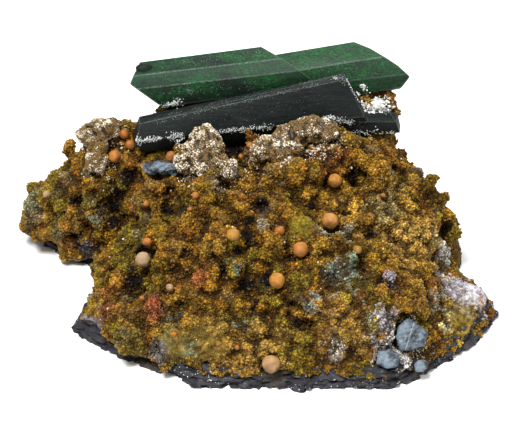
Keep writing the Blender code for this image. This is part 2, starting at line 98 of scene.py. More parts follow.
# Stained areas of the limonite: centre, radius, colour and how strongly it covers
STAINS = {
    "far_left_rim": ((-40.3, 15.0, 10.7), 3.0, "#69735c", 0.7),
    "far_left_foot": ((-39.6, 11.3, 8.3), 2.8, "#66705a", 0.6),
    "left_grey_spot": ((-27.4, 5.6, 11.5), 2.2, "#6f7866", 0.7),
    "left_smooth_lump": ((-35.6, 10.0, 4.0), 3.5, "#85672c", 0.7),
    "left_bare_stone": ((-30.3, 6.8, 4.2), 2.4, "#5f5f68", 0.9),
    "left_brown": ((-18.2, 1.6, 19.4), 5.5, "#6a4d1c", 0.4),
    "red_far_left": ((-24.8, -16.9, 7.9), 2.0, "#78402a", 0.7),
    "red_left_up": ((-24.5, -13.6, 9.7), 1.6, "#74412a", 0.5),
    "red_middle": ((-17.0, -18.7, 9.3), 2.5, "#8a4630", 0.8),
    "red_right": ((-10.4, -14.8, 13.4), 2.3, "#8a4a2a", 0.8),
    "red_between": ((-13.3, -13.2, 12.5), 1.4, "#7c452c", 0.5),
    "slab_left": ((-14.0, -25.3, 6.3), 4.4, "#605a2c", 0.8),
    "slab_right": ((-8.3, -26.0, 6.8), 5.2, "#685a26", 0.8),
    "slab_turquoise": ((-14.5, -19.8, 7.7), 1.7, "#62766a", 0.75),
    "slab_turquoise_low": ((-11.6, -26.2, 6.0), 1.4, "#66785f", 0.5),
    "slab_orange": ((-13.7, -24.8, 8.0), 0.9, "#95601f", 0.8),
    "corner_stone": ((-27.7, -14.5, 2.2), 3.2, "#74747e", 0.8),
    "corner_stone_low": ((-16.6, -24.0, 4.2), 2.2, "#6c6a70", 0.7),
    "front_ochre": ((-1.4, -25.8, 5.2), 6.0, "#a8843c", 0.7),
    "turquoise_low": ((-3.2, -21.6, 7.8), 1.7, "#67786a", 0.65),
    "turquoise_middle": ((-3.7, -15.8, 16.6), 1.6, "#6f8580", 0.7),
    "turquoise_middle_low": ((-2.9, -15.6, 14.7), 1.2, "#668076", 0.65),
    "grey_upper": ((-6.1, -1.5, 22.6), 2.2, "#76706a", 0.6),
    "grey_middle": ((0.1, -10.3, 20.5), 1.6, "#7d7f74", 0.7),
    "grey_spot": ((-1.1, -9.9, 16.9), 0.9, "#9aa39a", 0.8),
    "gold_upper_right": ((13.7, 1.7, 19.3), 3.2, "#98731c", 0.7),
    "red_brown_upper": ((11.6, 5.7, 22.8), 3.8, "#5c2f14", 0.7),
    "globe_crust": ((7.2, -9.1, 19.7), 2.6, "#6f6318", 0.85),
    "pale_rim_left": ((11.5, -8.9, 17.4), 1.4, "#b9bba8", 0.8),
    "pale_rim_right": ((14.5, -7.6, 17.4), 1.8, "#98a294", 0.7),
    "green_lobe": ((16.0, -14.8, 15.7), 2.4, "#70806f", 0.9),
    "green_lobe_left": ((12.7, -15.6, 14.3), 2.1, "#76837a", 0.8),
    "dome_rim_1": ((8.5, -21.7, 10.9), 1.3, "#84908a", 1.0),
    "dome_rim_2": ((9.5, -19.9, 12.1), 1.3, "#87938a", 1.0),
    "dome_rim_3": ((12.1, -19.2, 13.0), 1.4, "#869184", 1.0),
    "dome_rim_4": ((15.3, -18.2, 12.9), 1.4, "#848c76", 0.9),
    "dome_rim_5": ((17.3, -20.8, 12.5), 1.5, "#7c8876", 0.9),
    "dome_rim_6": ((17.6, -23.4, 10.7), 1.4, "#74847a", 1.0),
    "dome_face": ((13.2, -24.6, 10.4), 4.8, "#a07c34", 0.8),
    "gold_slope": ((26.3, -2.9, 14.2), 7.5, "#b89246", 0.8),
    "gold_slope_top": ((23.9, 2.7, 16.7), 4.4, "#a8842f", 0.8),
    "olive_right": ((21.3, 0.9, 16.4), 3.2, "#80805a", 0.6),
    "arm_pale": ((30.7, -0.5, 10.7), 2.0, "#a89c74", 0.6),
    "arm_white": ((32.2, 1.2, 7.5), 2.4, "#dcd8cc", 0.9),
    "ledge_white": ((34.6, -8.2, 6.0), 5.2, "#b4b2bb", 0.95),
    "ledge_grey": ((30.3, -15.3, 8.6), 2.6, "#86877c", 0.8),
    "ledge_yellow": ((34.0, -14.8, 4.2), 4.0, "#8f7c36", 0.8),
    "ledge_streak": ((31.6, -17.5, 4.9), 1.3, "#d8c892", 0.9),
    "matrix_upper": ((20.9, -24.4, 10.4), 2.7, "#b4b0b2", 0.9),
    "matrix_lower": ((22.7, -25.6, 5.6), 3.3, "#c4c2c6", 0.95),
    "matrix_left": ((12.6, -26.2, 6.0), 2.4, "#9a9184", 0.8),
    "lavender_right": ((22.0, -17.1, 13.7), 1.7, "#8e8c98", 0.8),
    "ochre_right": ((25.8, -20.2, 11.3), 3.6, "#8a641a", 0.7),
    "low_left": ((-21.8, -21.3, 6.5), 3.6, "#74602c", 0.5),
}

# White and tan crusts of fine wavellite on the limonite: centre, radius and the share of white grains
WHITE_CRUSTS = {
    "shoulder": ((-27.6, 13.0, 21.5), 5.0, 0.75),
    "shoulder_low": ((-26.5, 7.5, 17.5), 3.0, 0.6),
    "left_heap": ((-9.0, 6.5, 23.5), 6.0, 0.8),
    "left_heap_low": ((-5.0, 4.0, 21.5), 3.2, 0.5),
    "right_arc": ((5.0, 8.0, 25.5), 5.5, 0.75),
    "right_arc_end": ((11.0, 8.5, 25.0), 4.0, 0.7),
    "right_arc_low": ((4.5, 4.5, 22.5), 3.2, 0.7),
    "pale_ring": ((11.5, -8.6, 17.6), 2.0, 0.5),
    "arm_white": ((32.2, 1.2, 7.5), 2.0, 0.6),
    "ledge": ((35.1, -8.4, 5.8), 3.4, 0.5),
    "matrix": ((22.7, -25.0, 6.6), 3.0, 0.5),
    "matrix_left": ((12.6, -26.2, 6.0), 2.0, 0.5),
}

# Brown break across the shoulder's druse: where it starts in front of the druse, its radius and how deep it goes
DRUSE_BREAK = ((-27.5, 6.0, 24.9), 1.5, 12.0)

# Pits and crevices, sunk into the crust and painted dark as shade over a dark stain: place on the surface, radius
# and depth
PITS = (
    ((-22.2, 7.1, 18.4), 2.3, 3.8), ((-24.3, 6.4, 15.6), 1.7, 3.2), ((-25.0, 6.0, 13.4), 2.1, 3.8),
    ((-24.9, 5.3, 10.7), 1.7, 3.4), ((-13.8, -2.4, 18.7), 2.3, 4.0), ((-15.0, -1.4, 17.2), 1.7, 3.2),
    ((-4.3, 9.0, 23.9), 3.0, 5.0), ((-3.4, 8.0, 22.0), 1.9, 3.0), ((0.6, -4.1, 20.3), 1.8, 3.6),
    ((-1.2, -8.2, 19.2), 1.6, 3.2), ((-1.7, -11.7, 18.8), 1.9, 3.6), ((-3.4, -13.9, 17.2), 1.4, 3.0),
    ((1.2, -18.4, 14.7), 2.0, 3.8), ((-1.7, -18.3, 13.0), 2.1, 3.8), ((-0.6, -20.6, 11.4), 1.2, 2.4),
    ((-19.7, -9.1, 13.8), 2.0, 3.6), ((-20.9, -11.0, 12.2), 1.6, 3.0), ((-20.7, -13.4, 10.7), 2.0, 3.6),
    ((2.7, -10.3, 20.3), 1.5, 3.0), ((16.0, 5.2, 20.4), 1.7, 3.2), ((-12.2, -11.6, 15.6), 1.2, 2.6),
    ((9.0, -3.6, 19.4), 1.5, 2.8), ((18.6, -6.2, 15.6), 1.3, 2.4), ((-32.0, 8.6, 13.0), 1.5, 2.8),
    ((6.4, -22.4, 8.8), 1.3, 2.6), ((-6.4, -12.6, 16.6), 1.4, 2.8), ((20.2, -15.8, 12.6), 1.2, 2.2),
    ((28.4, -9.8, 10.2), 1.1, 2.0), ((-30.6, 20.4, 16.0), 1.6, 2.8), ((2.0, 28.0, 10.0), 2.0, 3.2),
    ((-18.0, 27.0, 9.0), 1.8, 3.0), ((22.0, 21.0, 10.0), 1.8, 3.0), ((32.4, 6.0, 9.0), 1.3, 2.4),
)

# Places where the crust is smooth, so that no knobs grow there: centre and radius
SMOOTH_PLACES = (
    ((-14.0, -25.3, 6.3), 3.0), ((-8.3, -26.0, 6.8), 3.4), ((-35.6, 10.0, 4.0), 3.0), ((35.1, -8.4, 5.8), 4.2),
    ((7.4, -8.3, 18.0), 2.8), ((34.0, -14.8, 4.2), 3.4), ((-27.7, -14.5, 3.0), 3.4),
)

# Knobs of limonite that show between the right blade and the side blade: place and radius
KNOBS_BEHIND = (
    ((19.8, 20.2, 25.6), 1.3), ((21.6, 20.8, 26.2), 1.3), ((23.0, 20.6, 25.4), 1.2), ((20.6, 20.8, 27.6), 0.8),
    ((22.4, 20.8, 27.8), 0.8), ((23.4, 20.6, 27.0), 0.6), ((18.8, 20.0, 27.2), 0.8), ((23.4, 20.0, 23.8), 1.3),
    ((17.8, 20.2, 26.2), 1.3), ((17.4, 20.0, 24.4), 1.4),
)

# Colour of each wavellite ball, in the order of the nodes
BALL_COLOURS = (
    "#9c774e", "#a06a20", "#9c6224", "#957c5a", "#986c22", "#9c5f18", "#945412",
    "#92561a", "#a67034", "#9c681e", "#a05c14", "#9a7c5a", "#907650", "#906c24",
)

# Pale cleavage line across the largest blue grey crystal: a point on its plane and the plane's normal
CLEAVAGE_POINT = (24.7, -23.6, 7.4)
CLEAVAGE_NORMAL = (0.95, -0.16, -0.26)

# Rounded knob at the upper left end of the left blade
BLADE_KNOB = (-19.5, 19.9, 32.5)

# Small orange wavellite beads too small to be pieces of their own: place and radius
BEADS = (
    ((-18.9, 0.7, 17.2), 0.55), ((-10.5, -4.2, 21.8), 0.6), ((-11.4, -4.7, 19.5), 0.45), ((-27.2, -6.3, 7.0), 0.4),
    ((-19.1, -17.9, 10.5), 0.45), ((-3.5, -26.0, 6.3), 0.4), ((-1.4, 9.4, 23.4), 0.7), ((-22.0, 13.4, 21.2), 0.9),
    ((3.5, -8.9, 17.8), 0.9), ((-26.0, -8.0, 9.5), 0.35), ((-3.0, 8.8, 21.6), 0.5), ((21.0, 2.0, 18.0), 0.4),
)

# Crystals that grew along the blades' edges: start, end, how many, how far they stray and how long the largest is
FRINGES = {
    "front_lower_left": ((-20.6, 10.1, 23.7), (-12.8, 10.8, 24.6), 560, 0.45, 0.48),
    "front_lower_end": ((-21.0, 11.0, 25.2), (-20.4, 10.2, 23.4), 90, 0.25, 0.45),
    "front_lower_middle": ((-7.9, 11.3, 24.9), (3.2, 12.3, 25.6), 460, 0.36, 0.42),
    "front_lower_right": ((3.2, 12.3, 25.6), (11.9, 13.0, 26.2), 150, 0.18, 0.4),
    "front_cluster": ((11.6, 13.2, 27.0), (16.2, 13.8, 25.4), 300, 0.4, 0.5),
    "side_lower": ((15.6, 14.2, 23.2), (23.4, 14.8, 22.9), 190, 0.35, 0.42),
    "apex": ((12.6, 15.6, 33.3), (15.4, 15.2, 32.6), 150, 0.35, 0.3),
    "end_face": ((15.4, 15.2, 32.6), (18.4, 15.6, 27.6), 130, 0.4, 0.35),
    "fluff_upper": ((17.9, 18.4, 29.4), (18.8, 18.0, 26.8), 520, 0.6, 0.9),
    "fluff_lower": ((18.6, 17.6, 26.8), (22.6, 17.4, 26.2), 1300, 0.7, 1.0),
    "below_left_blade": ((-16.2, 16.4, 27.2), (-13.4, 16.4, 28.0), 260, 0.4, 0.5),
    "left_tip": ((-22.0, 18.2, 30.6), (-17.4, 17.6, 26.6), 110, 0.12, 0.25),
}

# Dust and fine crystals strewn along ridges and over faces: start, end, how many, how far they stray and their size
DUST = {
    "front_ridge": ((-17.1, 11.4, 26.9), (11.0, 14.8, 32.6), 650, 0.22, 0.13),
    "front_top": ((-16.0, 12.6, 27.4), (11.0, 16.0, 33.0), 600, 0.6, 0.12),
    "front_face": ((-16.0, 11.0, 25.6), (12.0, 14.0, 30.0), 340, 1.5, 0.1),
    "left_blade_top": ((-18.0, 20.5, 32.6), (3.0, 20.5, 35.0), 520, 1.1, 0.14),
    "left_blade_low": ((-17.0, 17.6, 29.5), (3.0, 18.2, 31.4), 460, 0.9, 0.13),
    "side_face": ((14.0, 14.2, 26.6), (18.0, 15.0, 24.6), 70, 0.9, 0.1),
    "right_specks": ((16.4, 19.4, 31.4), (20.2, 19.4, 28.8), 70, 0.8, 0.12),
    "right_blade_face": ((4.0, 20.0, 33.0), (20.0, 20.0, 33.0), 520, 1.7, 0.14),
    "left_spot": ((-12.3, 17.0, 30.4), (-11.4, 17.0, 29.6), 60, 0.2, 0.12),
}


def draws(kind, number=0):
    """The random draws of one kind of piece."""
    return np.random.default_rng(SEED + SEEDS[kind] + number)


def linked(name, data):
    """A new object in the scene that shows a mesh, a light or a camera."""
    made = bpy.data.objects.new(name, data)
    bpy.context.scene.collection.objects.link(made)
    return made


def mesh_from(bm, name):
    """Turns a bmesh into a mesh."""
    mesh = bpy.data.meshes.new(name)
    bm.to_mesh(mesh)
    bm.free()
    return mesh


def object_from(bm, name):
    """Turns a bmesh into a named object at the world's origin."""
    return linked(name, mesh_from(bm, name))


def merged_copy(node):
    """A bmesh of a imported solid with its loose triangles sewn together."""
    bm = bmesh.new()
    bm.from_mesh(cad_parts[node].data)
    bmesh.ops.remove_doubles(bm, verts=bm.verts, dist=0.002 * MM)
    return bm


def apply_modifiers(made):
    """Replaces an object's mesh by the one that its modifiers give."""
    shaped = made.evaluated_get(bpy.context.evaluated_depsgraph_get())
    mesh = bpy.data.meshes.new_from_object(shaped)
    made.modifiers.clear()
    old, made.data = made.data, mesh
    bpy.data.meshes.remove(old)
    mesh.name = made.name


def fuse(made, grid):
    """Fuses all that lies in an object into one skin on a grid of that edge."""
    remesh = made.modifiers.new("fuse", "REMESH")
    remesh.mode = "VOXEL"
    remesh.voxel_size = grid
    apply_modifiers(made)


def dress(made, material, nodes=(), smooth=None):
    """Rides a finished piece on the specimen and the solids that it stands for.

    A piece is shaded smooth up to so many degrees between its faces.
    """
    made.data.materials.clear()
    made.data.materials.append(material)
    if smooth is not None:
        made.data.shade_smooth()
        made.data.set_sharp_from_angle(angle=math.radians(smooth))
    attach(made, BODY)
    if nodes:
        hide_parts(*nodes)


def mesh_arrays(mesh):
    """Vertex places, vertex normals and triangles of a mesh as arrays."""
    places = np.empty(len(mesh.vertices) * 3)
    mesh.vertices.foreach_get("co", places)
    normals = np.empty(len(mesh.vertices) * 3)
    mesh.vertex_normals.foreach_get("vector", normals)
    mesh.calc_loop_triangles()
    triangles = np.empty(len(mesh.loop_triangles) * 3, dtype=np.int32)
    mesh.loop_triangles.foreach_get("vertices", triangles)
    return places.reshape(-1, 3), normals.reshape(-1, 3), triangles.reshape(-1, 3)


def unit(vectors):
    """Vectors brought to length 1."""
    return vectors / np.maximum(np.linalg.norm(vectors, axis=1, keepdims=True), 1e-9)


def picked(kept, *lists):
    """The kept entries of each list."""
    return [values[kept] for values in lists]


def spread(arrays, count, rng):
    """Random points on a surface, even by area: their places, normals, triangles and shares of the corners."""
    places, normals, triangles = arrays
    corners = places[triangles]
    areas = np.linalg.norm(np.cross(corners[:, 1] - corners[:, 0], corners[:, 2] - corners[:, 0]), axis=1)
    chosen = rng.choice(len(triangles), count, p=areas / areas.sum())
    first, second = rng.random((2, count))
    over = first + second > 1
    first[over] = 1 - first[over]
    second[over] = 1 - second[over]
    shares = np.stack((1 - first - second, first, second), axis=1)[:, :, None]
    facing = unit((normals[triangles[chosen]] * shares).sum(1))
    return (corners[chosen] * shares).sum(1), facing, triangles[chosen], shares


def standing_frames(facing, lean, rng):
    """A turn for each point that stands a copy's Z along its normal, leaning at random."""
    up = unit(facing + rng.normal(0, lean, facing.shape))
    side = unit(np.cross(up, rng.normal(0, 1, facing.shape)))
    return np.stack((side, np.cross(up, side), up), axis=2)


def joined_copies(name, shape, where, turns, sizes, colours, shading=0.0):
    """One mesh of many copies of a small closed shape, each with its own colour, with painted shade towards its foot
    and a painted highlight towards its tip.
    """
    corners, _, triangles = mesh_arrays(shape)
    placed = np.einsum("nij,nkj->nki", turns, corners[None, :, :] * sizes[:, None, :]) + where[:, None, :]
    copies, vertices = placed.shape[:2]
    loops = (triangles[None] + (np.arange(copies) * vertices)[:, None, None]).ravel().astype(np.int32)
    mesh = bpy.data.meshes.new(name)
    mesh.vertices.add(copies * vertices)
    mesh.vertices.foreach_set("co", placed.ravel().astype(np.float32))
    mesh.loops.add(len(loops))
    mesh.loops.foreach_set("vertex_index", loops)
    mesh.polygons.add(len(loops) // 3)
    mesh.polygons.foreach_set("loop_start", np.arange(0, len(loops), 3, dtype=np.int32))
    mesh.update(calc_edges=True)
    # Painted shade and light: each copy is darker at its foot and lighter at its tip
    painted_light_and_shade = np.clip(1 + shading * (corners[:, 2] - 0.45), 0.1, None)
    store_colours(mesh, (colours[:, None, :] * painted_light_and_shade[None, :, None]).reshape(-1, 3))
    return linked(name, mesh)


def store_colours(mesh, colours):
    """Keeps the stone's colour for each vertex as an attribute."""
    kept = mesh.attributes.new("stone_colour", "FLOAT_COLOR", "POINT")
    kept.data.foreach_set("color", np.column_stack((colours, np.ones(len(colours)))).ravel().astype(np.float32))


def store_values(mesh, name, values, domain="POINT"):
    """Keeps a value for each vertex or face as an attribute."""
    mesh.attributes.new(name, "FLOAT", domain).data.foreach_set("value", np.asarray(values, dtype=np.float32))


def move_vertices(made, places):
    """Gives an object's vertices new places."""
    made.data.vertices.foreach_set("co", places.ravel().astype(np.float32))
    made.data.update()


def grain_shape(rng, roughness):
    """A small lump or crystal with eight uneven faces, 1 m in radius, to be copied at its real size."""
    bm = bmesh.new()
    bmesh.ops.create_uvsphere(bm, u_segments=4, v_segments=2, radius=1)
    for vertex in bm.verts:
        vertex.co *= 1 + roughness * rng.uniform(-1, 1)
    return mesh_from(bm, "grain")


def add_knobs(made, where, facing, sizes, sunk, rng):
    """Adds loose balls to an object, sunk by a share of their radius, to be fused with it."""
    ball = bmesh.new()
    bmesh.ops.create_icosphere(ball, subdivisions=2, radius=1)
    squashed = sizes[:, None] * rng.uniform(0.85, 1.15, (len(sizes), 3))
    balls = joined_copies("knobs", mesh_from(ball, "knob"), where - facing * sizes[:, None] * sunk,
                          standing_frames(facing, 0.3, rng), squashed, np.ones((len(sizes), 3)))
    bm = bmesh.new()
    bm.from_mesh(made.data)
    bm.from_mesh(balls.data)
    bpy.data.objects.remove(balls)
    bm.to_mesh(made.data)
    bm.free()


def spaced(where, sizes, share):
    """Which round things stay clear of the earlier ones, by a share of both radii."""
    reach = 2 * sizes.max() * share
    homes = np.floor(where / reach).astype(int).tolist()
    places = [Vector(p) for p in where]
    cells = {}
    kept = np.zeros(len(where), dtype=bool)
    for k, (x, y, z) in enumerate(homes):
        near = [
            j for a in (x - 1, x, x + 1) for b in (y - 1, y, y + 1) for c in (z - 1, z, z + 1)
            for j in cells.get((a, b, c), ())
        ]
        if all((places[j] - places[k]).length > share * (sizes[j] + sizes[k]) for j in near):
            kept[k] = True
            cells.setdefault((x, y, z), []).append(k)
    return kept


def noise_at(places, wavelength, octaves=3, shift=0.0):
    """Fractal noise of a wavelength in mm at each place, from about -1 to 1."""
    offset = Vector((shift, shift * 1.7, -shift))
    scale = 1 / (wavelength * MM)
    return np.array([
        noise.fractal(Vector(p) * scale + offset, 0.9, 2.1, octaves, noise_basis="PERLIN_ORIGINAL") for p in places
    ])


def distances(places, centre):
    """How far each place is from a point, in mm."""
    return np.linalg.norm(places / MM - np.array(centre), axis=1)


def nearness(places, centre, radius, ragged=0.0, edge=0.3):
    """How far each place is inside a round patch: 1 inside, 0 outside, with noise that makes its edge ragged."""
    return np.clip((1 - distances(places, centre) / radius + ragged) / edge, 0, 1)


def in_pit(places, centre, radius, deep, ragged):
    """How far each place is inside a pit that was sunk away from the camera: 1 inside, 0 outside."""
    offset = places / MM - np.array(centre)
    sunk = np.clip(offset @ INWARD, -0.3 * radius, deep)
    distance = np.linalg.norm(offset - sunk[:, None] * INWARD, axis=1) / radius
    return np.clip((1 - distance + ragged) / 0.35, 0, 1)


def openness(places, normals, tree, reach):
    """How open the view out of the stone is at each place, from 0 in a closed pit to 1 on a free knob."""
    golden_angle = 2.39996
    rays = []
    for k in range(11):
        height = 1 - (k + 0.5) / 12
        flat = math.sqrt(1 - height * height)
        rays.append(Vector((flat * math.cos(k * golden_angle), flat * math.sin(k * golden_angle), height)))
    free = np.zeros(len(places))
    for k, (place, normal) in enumerate(zip(places, normals)):
        up = Vector(normal)
        start = Vector(place) + up * 0.05 * MM
        turn = up.to_track_quat("Z", "Y")
        for ray in rays:
            hit = tree.ray_cast(start, turn @ ray, reach)
            free[k] += 1 if hit[0] is None else 0.6 * hit[3] / reach
    return free / len(rays)


def smoothed(values, triangles, rounds):
    """Evens out values over a mesh by averaging each vertex with its neighbours."""
    pairs = np.concatenate((triangles[:, [0, 1]], triangles[:, [1, 2]], triangles[:, [2, 0]]))
    pairs = np.concatenate((pairs, pairs[:, ::-1]))
    count = np.maximum(np.bincount(pairs[:, 0], minlength=len(values)), 1)
    for _ in range(rounds):
        values = 0.5 * values + 0.5 * np.bincount(pairs[:, 0], values[pairs[:, 1]], len(values)) / count
    return values


def mix(first, second, share):
    """Blends two colours, each as a hex code, as linear values or as a list, by a share for each place."""
    first, second = (np.asarray(linear(c) if isinstance(c, str) else c) for c in (first, second))
    return first * (1 - share[:, None]) + second * share[:, None]


def size_setting(name, description, millimetres):
    """A length that a user may change, with its default in mm."""
    return FloatProperty(
        name=name, description=description, default=millimetres * MM, unit="LENGTH", precision=5)


def colour_setting(name, description, code):
    """A colour that a user may change, with its default as a hex code."""
    return FloatVectorProperty(
        name=name, description=description, default=linear(code), subtype="COLOR", min=0, max=1)


class LimoniteSettings(bpy.types.PropertyGroup):
    """Sizes and colours of the limonite crust and of the grains on it"""

    grid: size_setting("Grid", "Edge of the grid on which the knobs are fused", 0.48)
    knobs: IntProperty(name="Knobs", description="Round knobs tried for on the crust", default=16000, min=1)
    knob_smallest: size_setting("Smallest knob", "Radius of the smallest knobs", 0.45)
    knob_largest: size_setting("Largest knob", "Radius of the largest knobs", 1.25)
    grains: IntProperty(name="Grains", description="Grains in each of the grain layers", default=19000, min=1)
    grain_smallest: size_setting("Smallest grain", "Radius of the smallest grains", 0.13)
    grain_largest: size_setting("Largest grain", "Radius of the largest grains", 0.36)
    ochre: colour_setting("Ochre", "Most of the limonite's knobs", "#8e6416")
    gold: colour_setting("Gold", "The yellower knobs", "#8e6c22")
    # Brown is mixed in between the knobs as painted shade
    brown: colour_setting("Brown", "Limonite between the knobs", "#341a02")
    # The pit colour is painted shade as well as a dark stain, in the gaps, sheltered places and pits
    pit: colour_setting("Pits", "Stain deep in the pits", "#0c0602")
    olive: colour_setting("Olive", "Greenish limonite", "#726418")
    rust: colour_setting("Rust", "Orange brown knobs", "#7c4a14")
    grey: colour_setting("Grey", "Greyish knobs", "#665e48")
    white: colour_setting("White", "Fine white wavellite on the crust", "#e6dccb")


class SlateSettings(bpy.types.PropertyGroup):
    """Sizes and colours of the slate"""

    beds: IntProperty(name="Beds", description="Thin beds along the broken edge", default=14, min=3)
    raggedness: size_setting("Raggedness", "How far the beds stand in and out", 0.35)
    flakes: IntProperty(name="Flakes", description="Mica flakes that sparkle on the edge", default=2600, min=0)
    slate: colour_setting("Slate", "Broken slate", "#28272b")


class BladeSettings(bpy.types.PropertyGroup):
    """Colours and wear of the vivianite blades"""

    green: colour_setting("Green", "Colour that light keeps inside the green blades", "#1fc25e")
    dust: colour_setting("Dust", "Dull film on the green blades", "#2a3931")
    bevel: size_setting("Worn edge", "Width of the worn edge between two faces", 0.16)


class StageSettings(bpy.types.PropertyGroup):
    """The camera and the light"""

    lens: FloatProperty(name="Lens", description="Focal length in millimetres", default=187.0)
    distance: size_setting("Distance", "From the camera to the middle of the specimen", 450.0)
    elevation: FloatProperty(
        name="Elevation", description="How far the camera looks down", default=math.radians(32), subtype="ANGLE")
    key: FloatProperty(name="Key light", description="Power of the large soft light, in watts", default=5.6)
    fill: FloatProperty(name="World light", description="Strength of the light from all round", default=0.36)


class Surface:
    """A material's nodes, each step giving the socket that a later step takes. Colours may be hex codes."""

    def __init__(self, name):
        self.material = bpy.data.materials.new(name)
        self.material.use_nodes = True
        self.material.node_tree.nodes.clear()
        self.place = self.add("TexCoord")["Object"]

    def add(self, kind, inputs=None, **settings):
        """Adds a node with its settings, links or sets its inputs and gives its outputs."""
        tree = self.material.node_tree
        made = tree.nodes.new("ShaderNode" + kind)
        for key, value in settings.items():
            setattr(made, key, value)
        for socket, value in (inputs or {}).items():
            if isinstance(value, bpy.types.NodeSocket):
                tree.links.new(value, made.inputs[socket])
            else:
                made.inputs[socket].default_value = (*linear(value), 1.0) if isinstance(value, str) else value
        return made.outputs

    def attribute(self, name, output="Fac"):
        """What the mesh keeps under a name."""
        return self.add("Attribute", attribute_name=name)[output]

    def noise(self, size, detail=2.0, roughness=0.5, place=None):
        """Noise whose patches are about so many mm across."""
        return self.add("TexNoise", {"Vector": self.place if place is None else place, "Scale": 1 / (size * MM),
                                     "Detail": detail, "Roughness": roughness})["Fac"]

    def squeezed(self, scale, lean=0):
        """The place scaled along each axis, once it is turned about Y by so many degrees."""
        return self.add("Mapping", {"Vector": self.place, "Scale": scale,
                                    "Rotation": (0.0, math.radians(lean), 0.0)})["Vector"]

    def ranged(self, value, low, high, first, last):
        """A value from low to high, brought to between first and last."""
        return self.add("MapRange", {"Value": value, "From Min": low, "From Max": high, "To Min": first,
                                     "To Max": last})["Result"]

    def maths(self, operation, *values):
        """The sum, product or size of values."""
        return self.add("Math", dict(enumerate(values)), operation=operation)["Value"]

    def blend(self, share, first, second):
        """The first colour with a share of the second one over it."""
        return self.add("Mix", {0: share, 6: first, 7: second}, data_type="RGBA")[2]

    def toned(self, colour, lightness, hue=0.5):
        """A colour made lighter or darker, and turned to another hue."""
        return self.add("HueSaturation", {"Color": colour, "Value": lightness, "Hue": hue})["Color"]

    def bump(self, height, strength, depth, **under):
        """The normal of a relief so many mm deep."""
        return self.add("Bump", {"Height": height, "Strength": strength, "Distance": depth * MM, **under})["Normal"]

    def finished(self, shading, **ends):
        """Ends the nodes with the shader and gives the material."""
        self.add("OutputMaterial", {"Surface": self.add("BsdfPrincipled", shading)["BSDF"], **ends})
        return self.material


def limonite_material(crust):
    """Weathered limonite: an earthy iron oxide, dull and rough, which covers the crust with tiny globules."""
    stone = Surface("limonite_crust" if crust else "limonite_grains")
    mottle, grit = stone.noise(0.9, 4.0, 0.6), stone.noise(0.25)
    colour = stone.toned(stone.attribute("stone_colour", "Color"), stone.ranged(mottle, 0.3, 0.7, 0.7, 1.25),
                         stone.ranged(grit, 0.3, 0.7, 0.485, 0.51))
    normal = stone.bump(grit, 0.7, 0.12)
    if crust:
        # Tiny globules, each with its own tone, painted lighter in their middles and darker at their borders as
        # shade in the gaps between them, beside their bump
        bent = stone.add("VectorMath", {0: mottle.node.outputs["Color"], 1: (0.9 * MM,) * 3, 2: stone.place},
                         operation="MULTIPLY_ADD")["Vector"]
        globules = stone.add("TexVoronoi", {"Vector": bent, "Scale": 1 / (0.52 * MM)})
        rise = stone.ranged(globules["Distance"], 0.15, 0.62, 1.0, 0.0)
        own = stone.add("SeparateColor", {"Color": globules["Color"]})["Red"]
        uneven = stone.maths("MULTIPLY", stone.ranged(own, 0.0, 1.0, 0.7, 1.35),
                             stone.ranged(rise, 0.0, 1.0, 0.26, 1.45))
        colour = stone.toned(colour, stone.ranged(stone.attribute("smooth_place"), 0.0, 1.0, uneven, 1.0))
        normal = stone.bump(rise, 0.7, 0.16, Normal=normal)
    return stone.finished({"Base Color": colour, "Roughness": stone.ranged(grit, 0.35, 0.65, 0.9, 0.55),
                           "Normal": normal, "Specular IOR Level": 0.12})


def wavellite_material():
    """Wavellite druse: fine clear to white crystals, glassy on each face and milky as a crust."""
    druse = Surface("wavellite_druse")
    lightness = druse.ranged(druse.noise(0.6, 3.0), 0.3, 0.7, 0.8, 1.2)
    colour = druse.toned(druse.attribute("stone_colour", "Color"), lightness)
    return druse.finished({"Base Color": colour, "Roughness": 0.42, "IOR": 1.53, "Specular IOR Level": 0.25})


def ball_material():
    """Wavellite globe: fine radiating needles that end in a smooth, faintly pitted skin stained by iron."""
    globe = Surface("stained_wavellite_globe")
    lightness = globe.ranged(globe.noise(1.1, 4.0), 0.3, 0.7, 0.8, 1.18)
    colour = globe.toned(globe.attribute("stone_colour", "Color"), lightness)
    return globe.finished({"Base Color": colour, "Roughness": 0.55, "IOR": 1.53, "Specular IOR Level": 0.35,
                           "Normal": globe.bump(globe.noise(0.22), 0.35, 0.06)})


def slate_material(colour):
    """Slate: a dark blue grey cleaved rock, thinly bedded, rusty where the limonite has run into it."""
    slate = Surface("cleaved_slate")
    beds, grit = slate.noise(1.6, 5.0, 0.65, slate.squeezed((1.0, 1.0, 6.0))), slate.noise(0.3, 3.0)
    rust = slate.ranged(slate.noise(7.0, 3.0), 0.58, 0.72, 0.0, 0.55)
    bedded = slate.toned(colour, slate.ranged(beds, 0.3, 0.7, 0.45, 1.7))
    return slate.finished({"Base Color": slate.blend(rust, bedded, "#5a4a30"), "Specular IOR Level": 0.25,
                           "Roughness": slate.ranged(grit, 0.35, 0.65, 0.75, 0.35),
                           "Normal": slate.bump(grit, 0.6, 0.12)})


def mica_material():
    """Mica: thin silvery flakes on the slate's cleavage that flash where they face the light."""
    mica = Surface("mica_flake")
    return mica.finished({"Base Color": mica.blend(mica.noise(0.5), "#8d9098", "#d9dadd"), "Roughness": 0.2,
                          "IOR": 1.58, "Specular IOR Level": 0.8})


def worn_edges(crystal, colour):
    """Adds pale broken dust along a blade's worn edges to its colour."""
    broken = crystal.ranged(crystal.noise(0.3, 5.0, 0.8), 0.4, 0.65, 0.0, 0.45)
    return crystal.blend(crystal.maths("MULTIPLY", crystal.attribute("edge"), broken), colour, "#8f9b94")


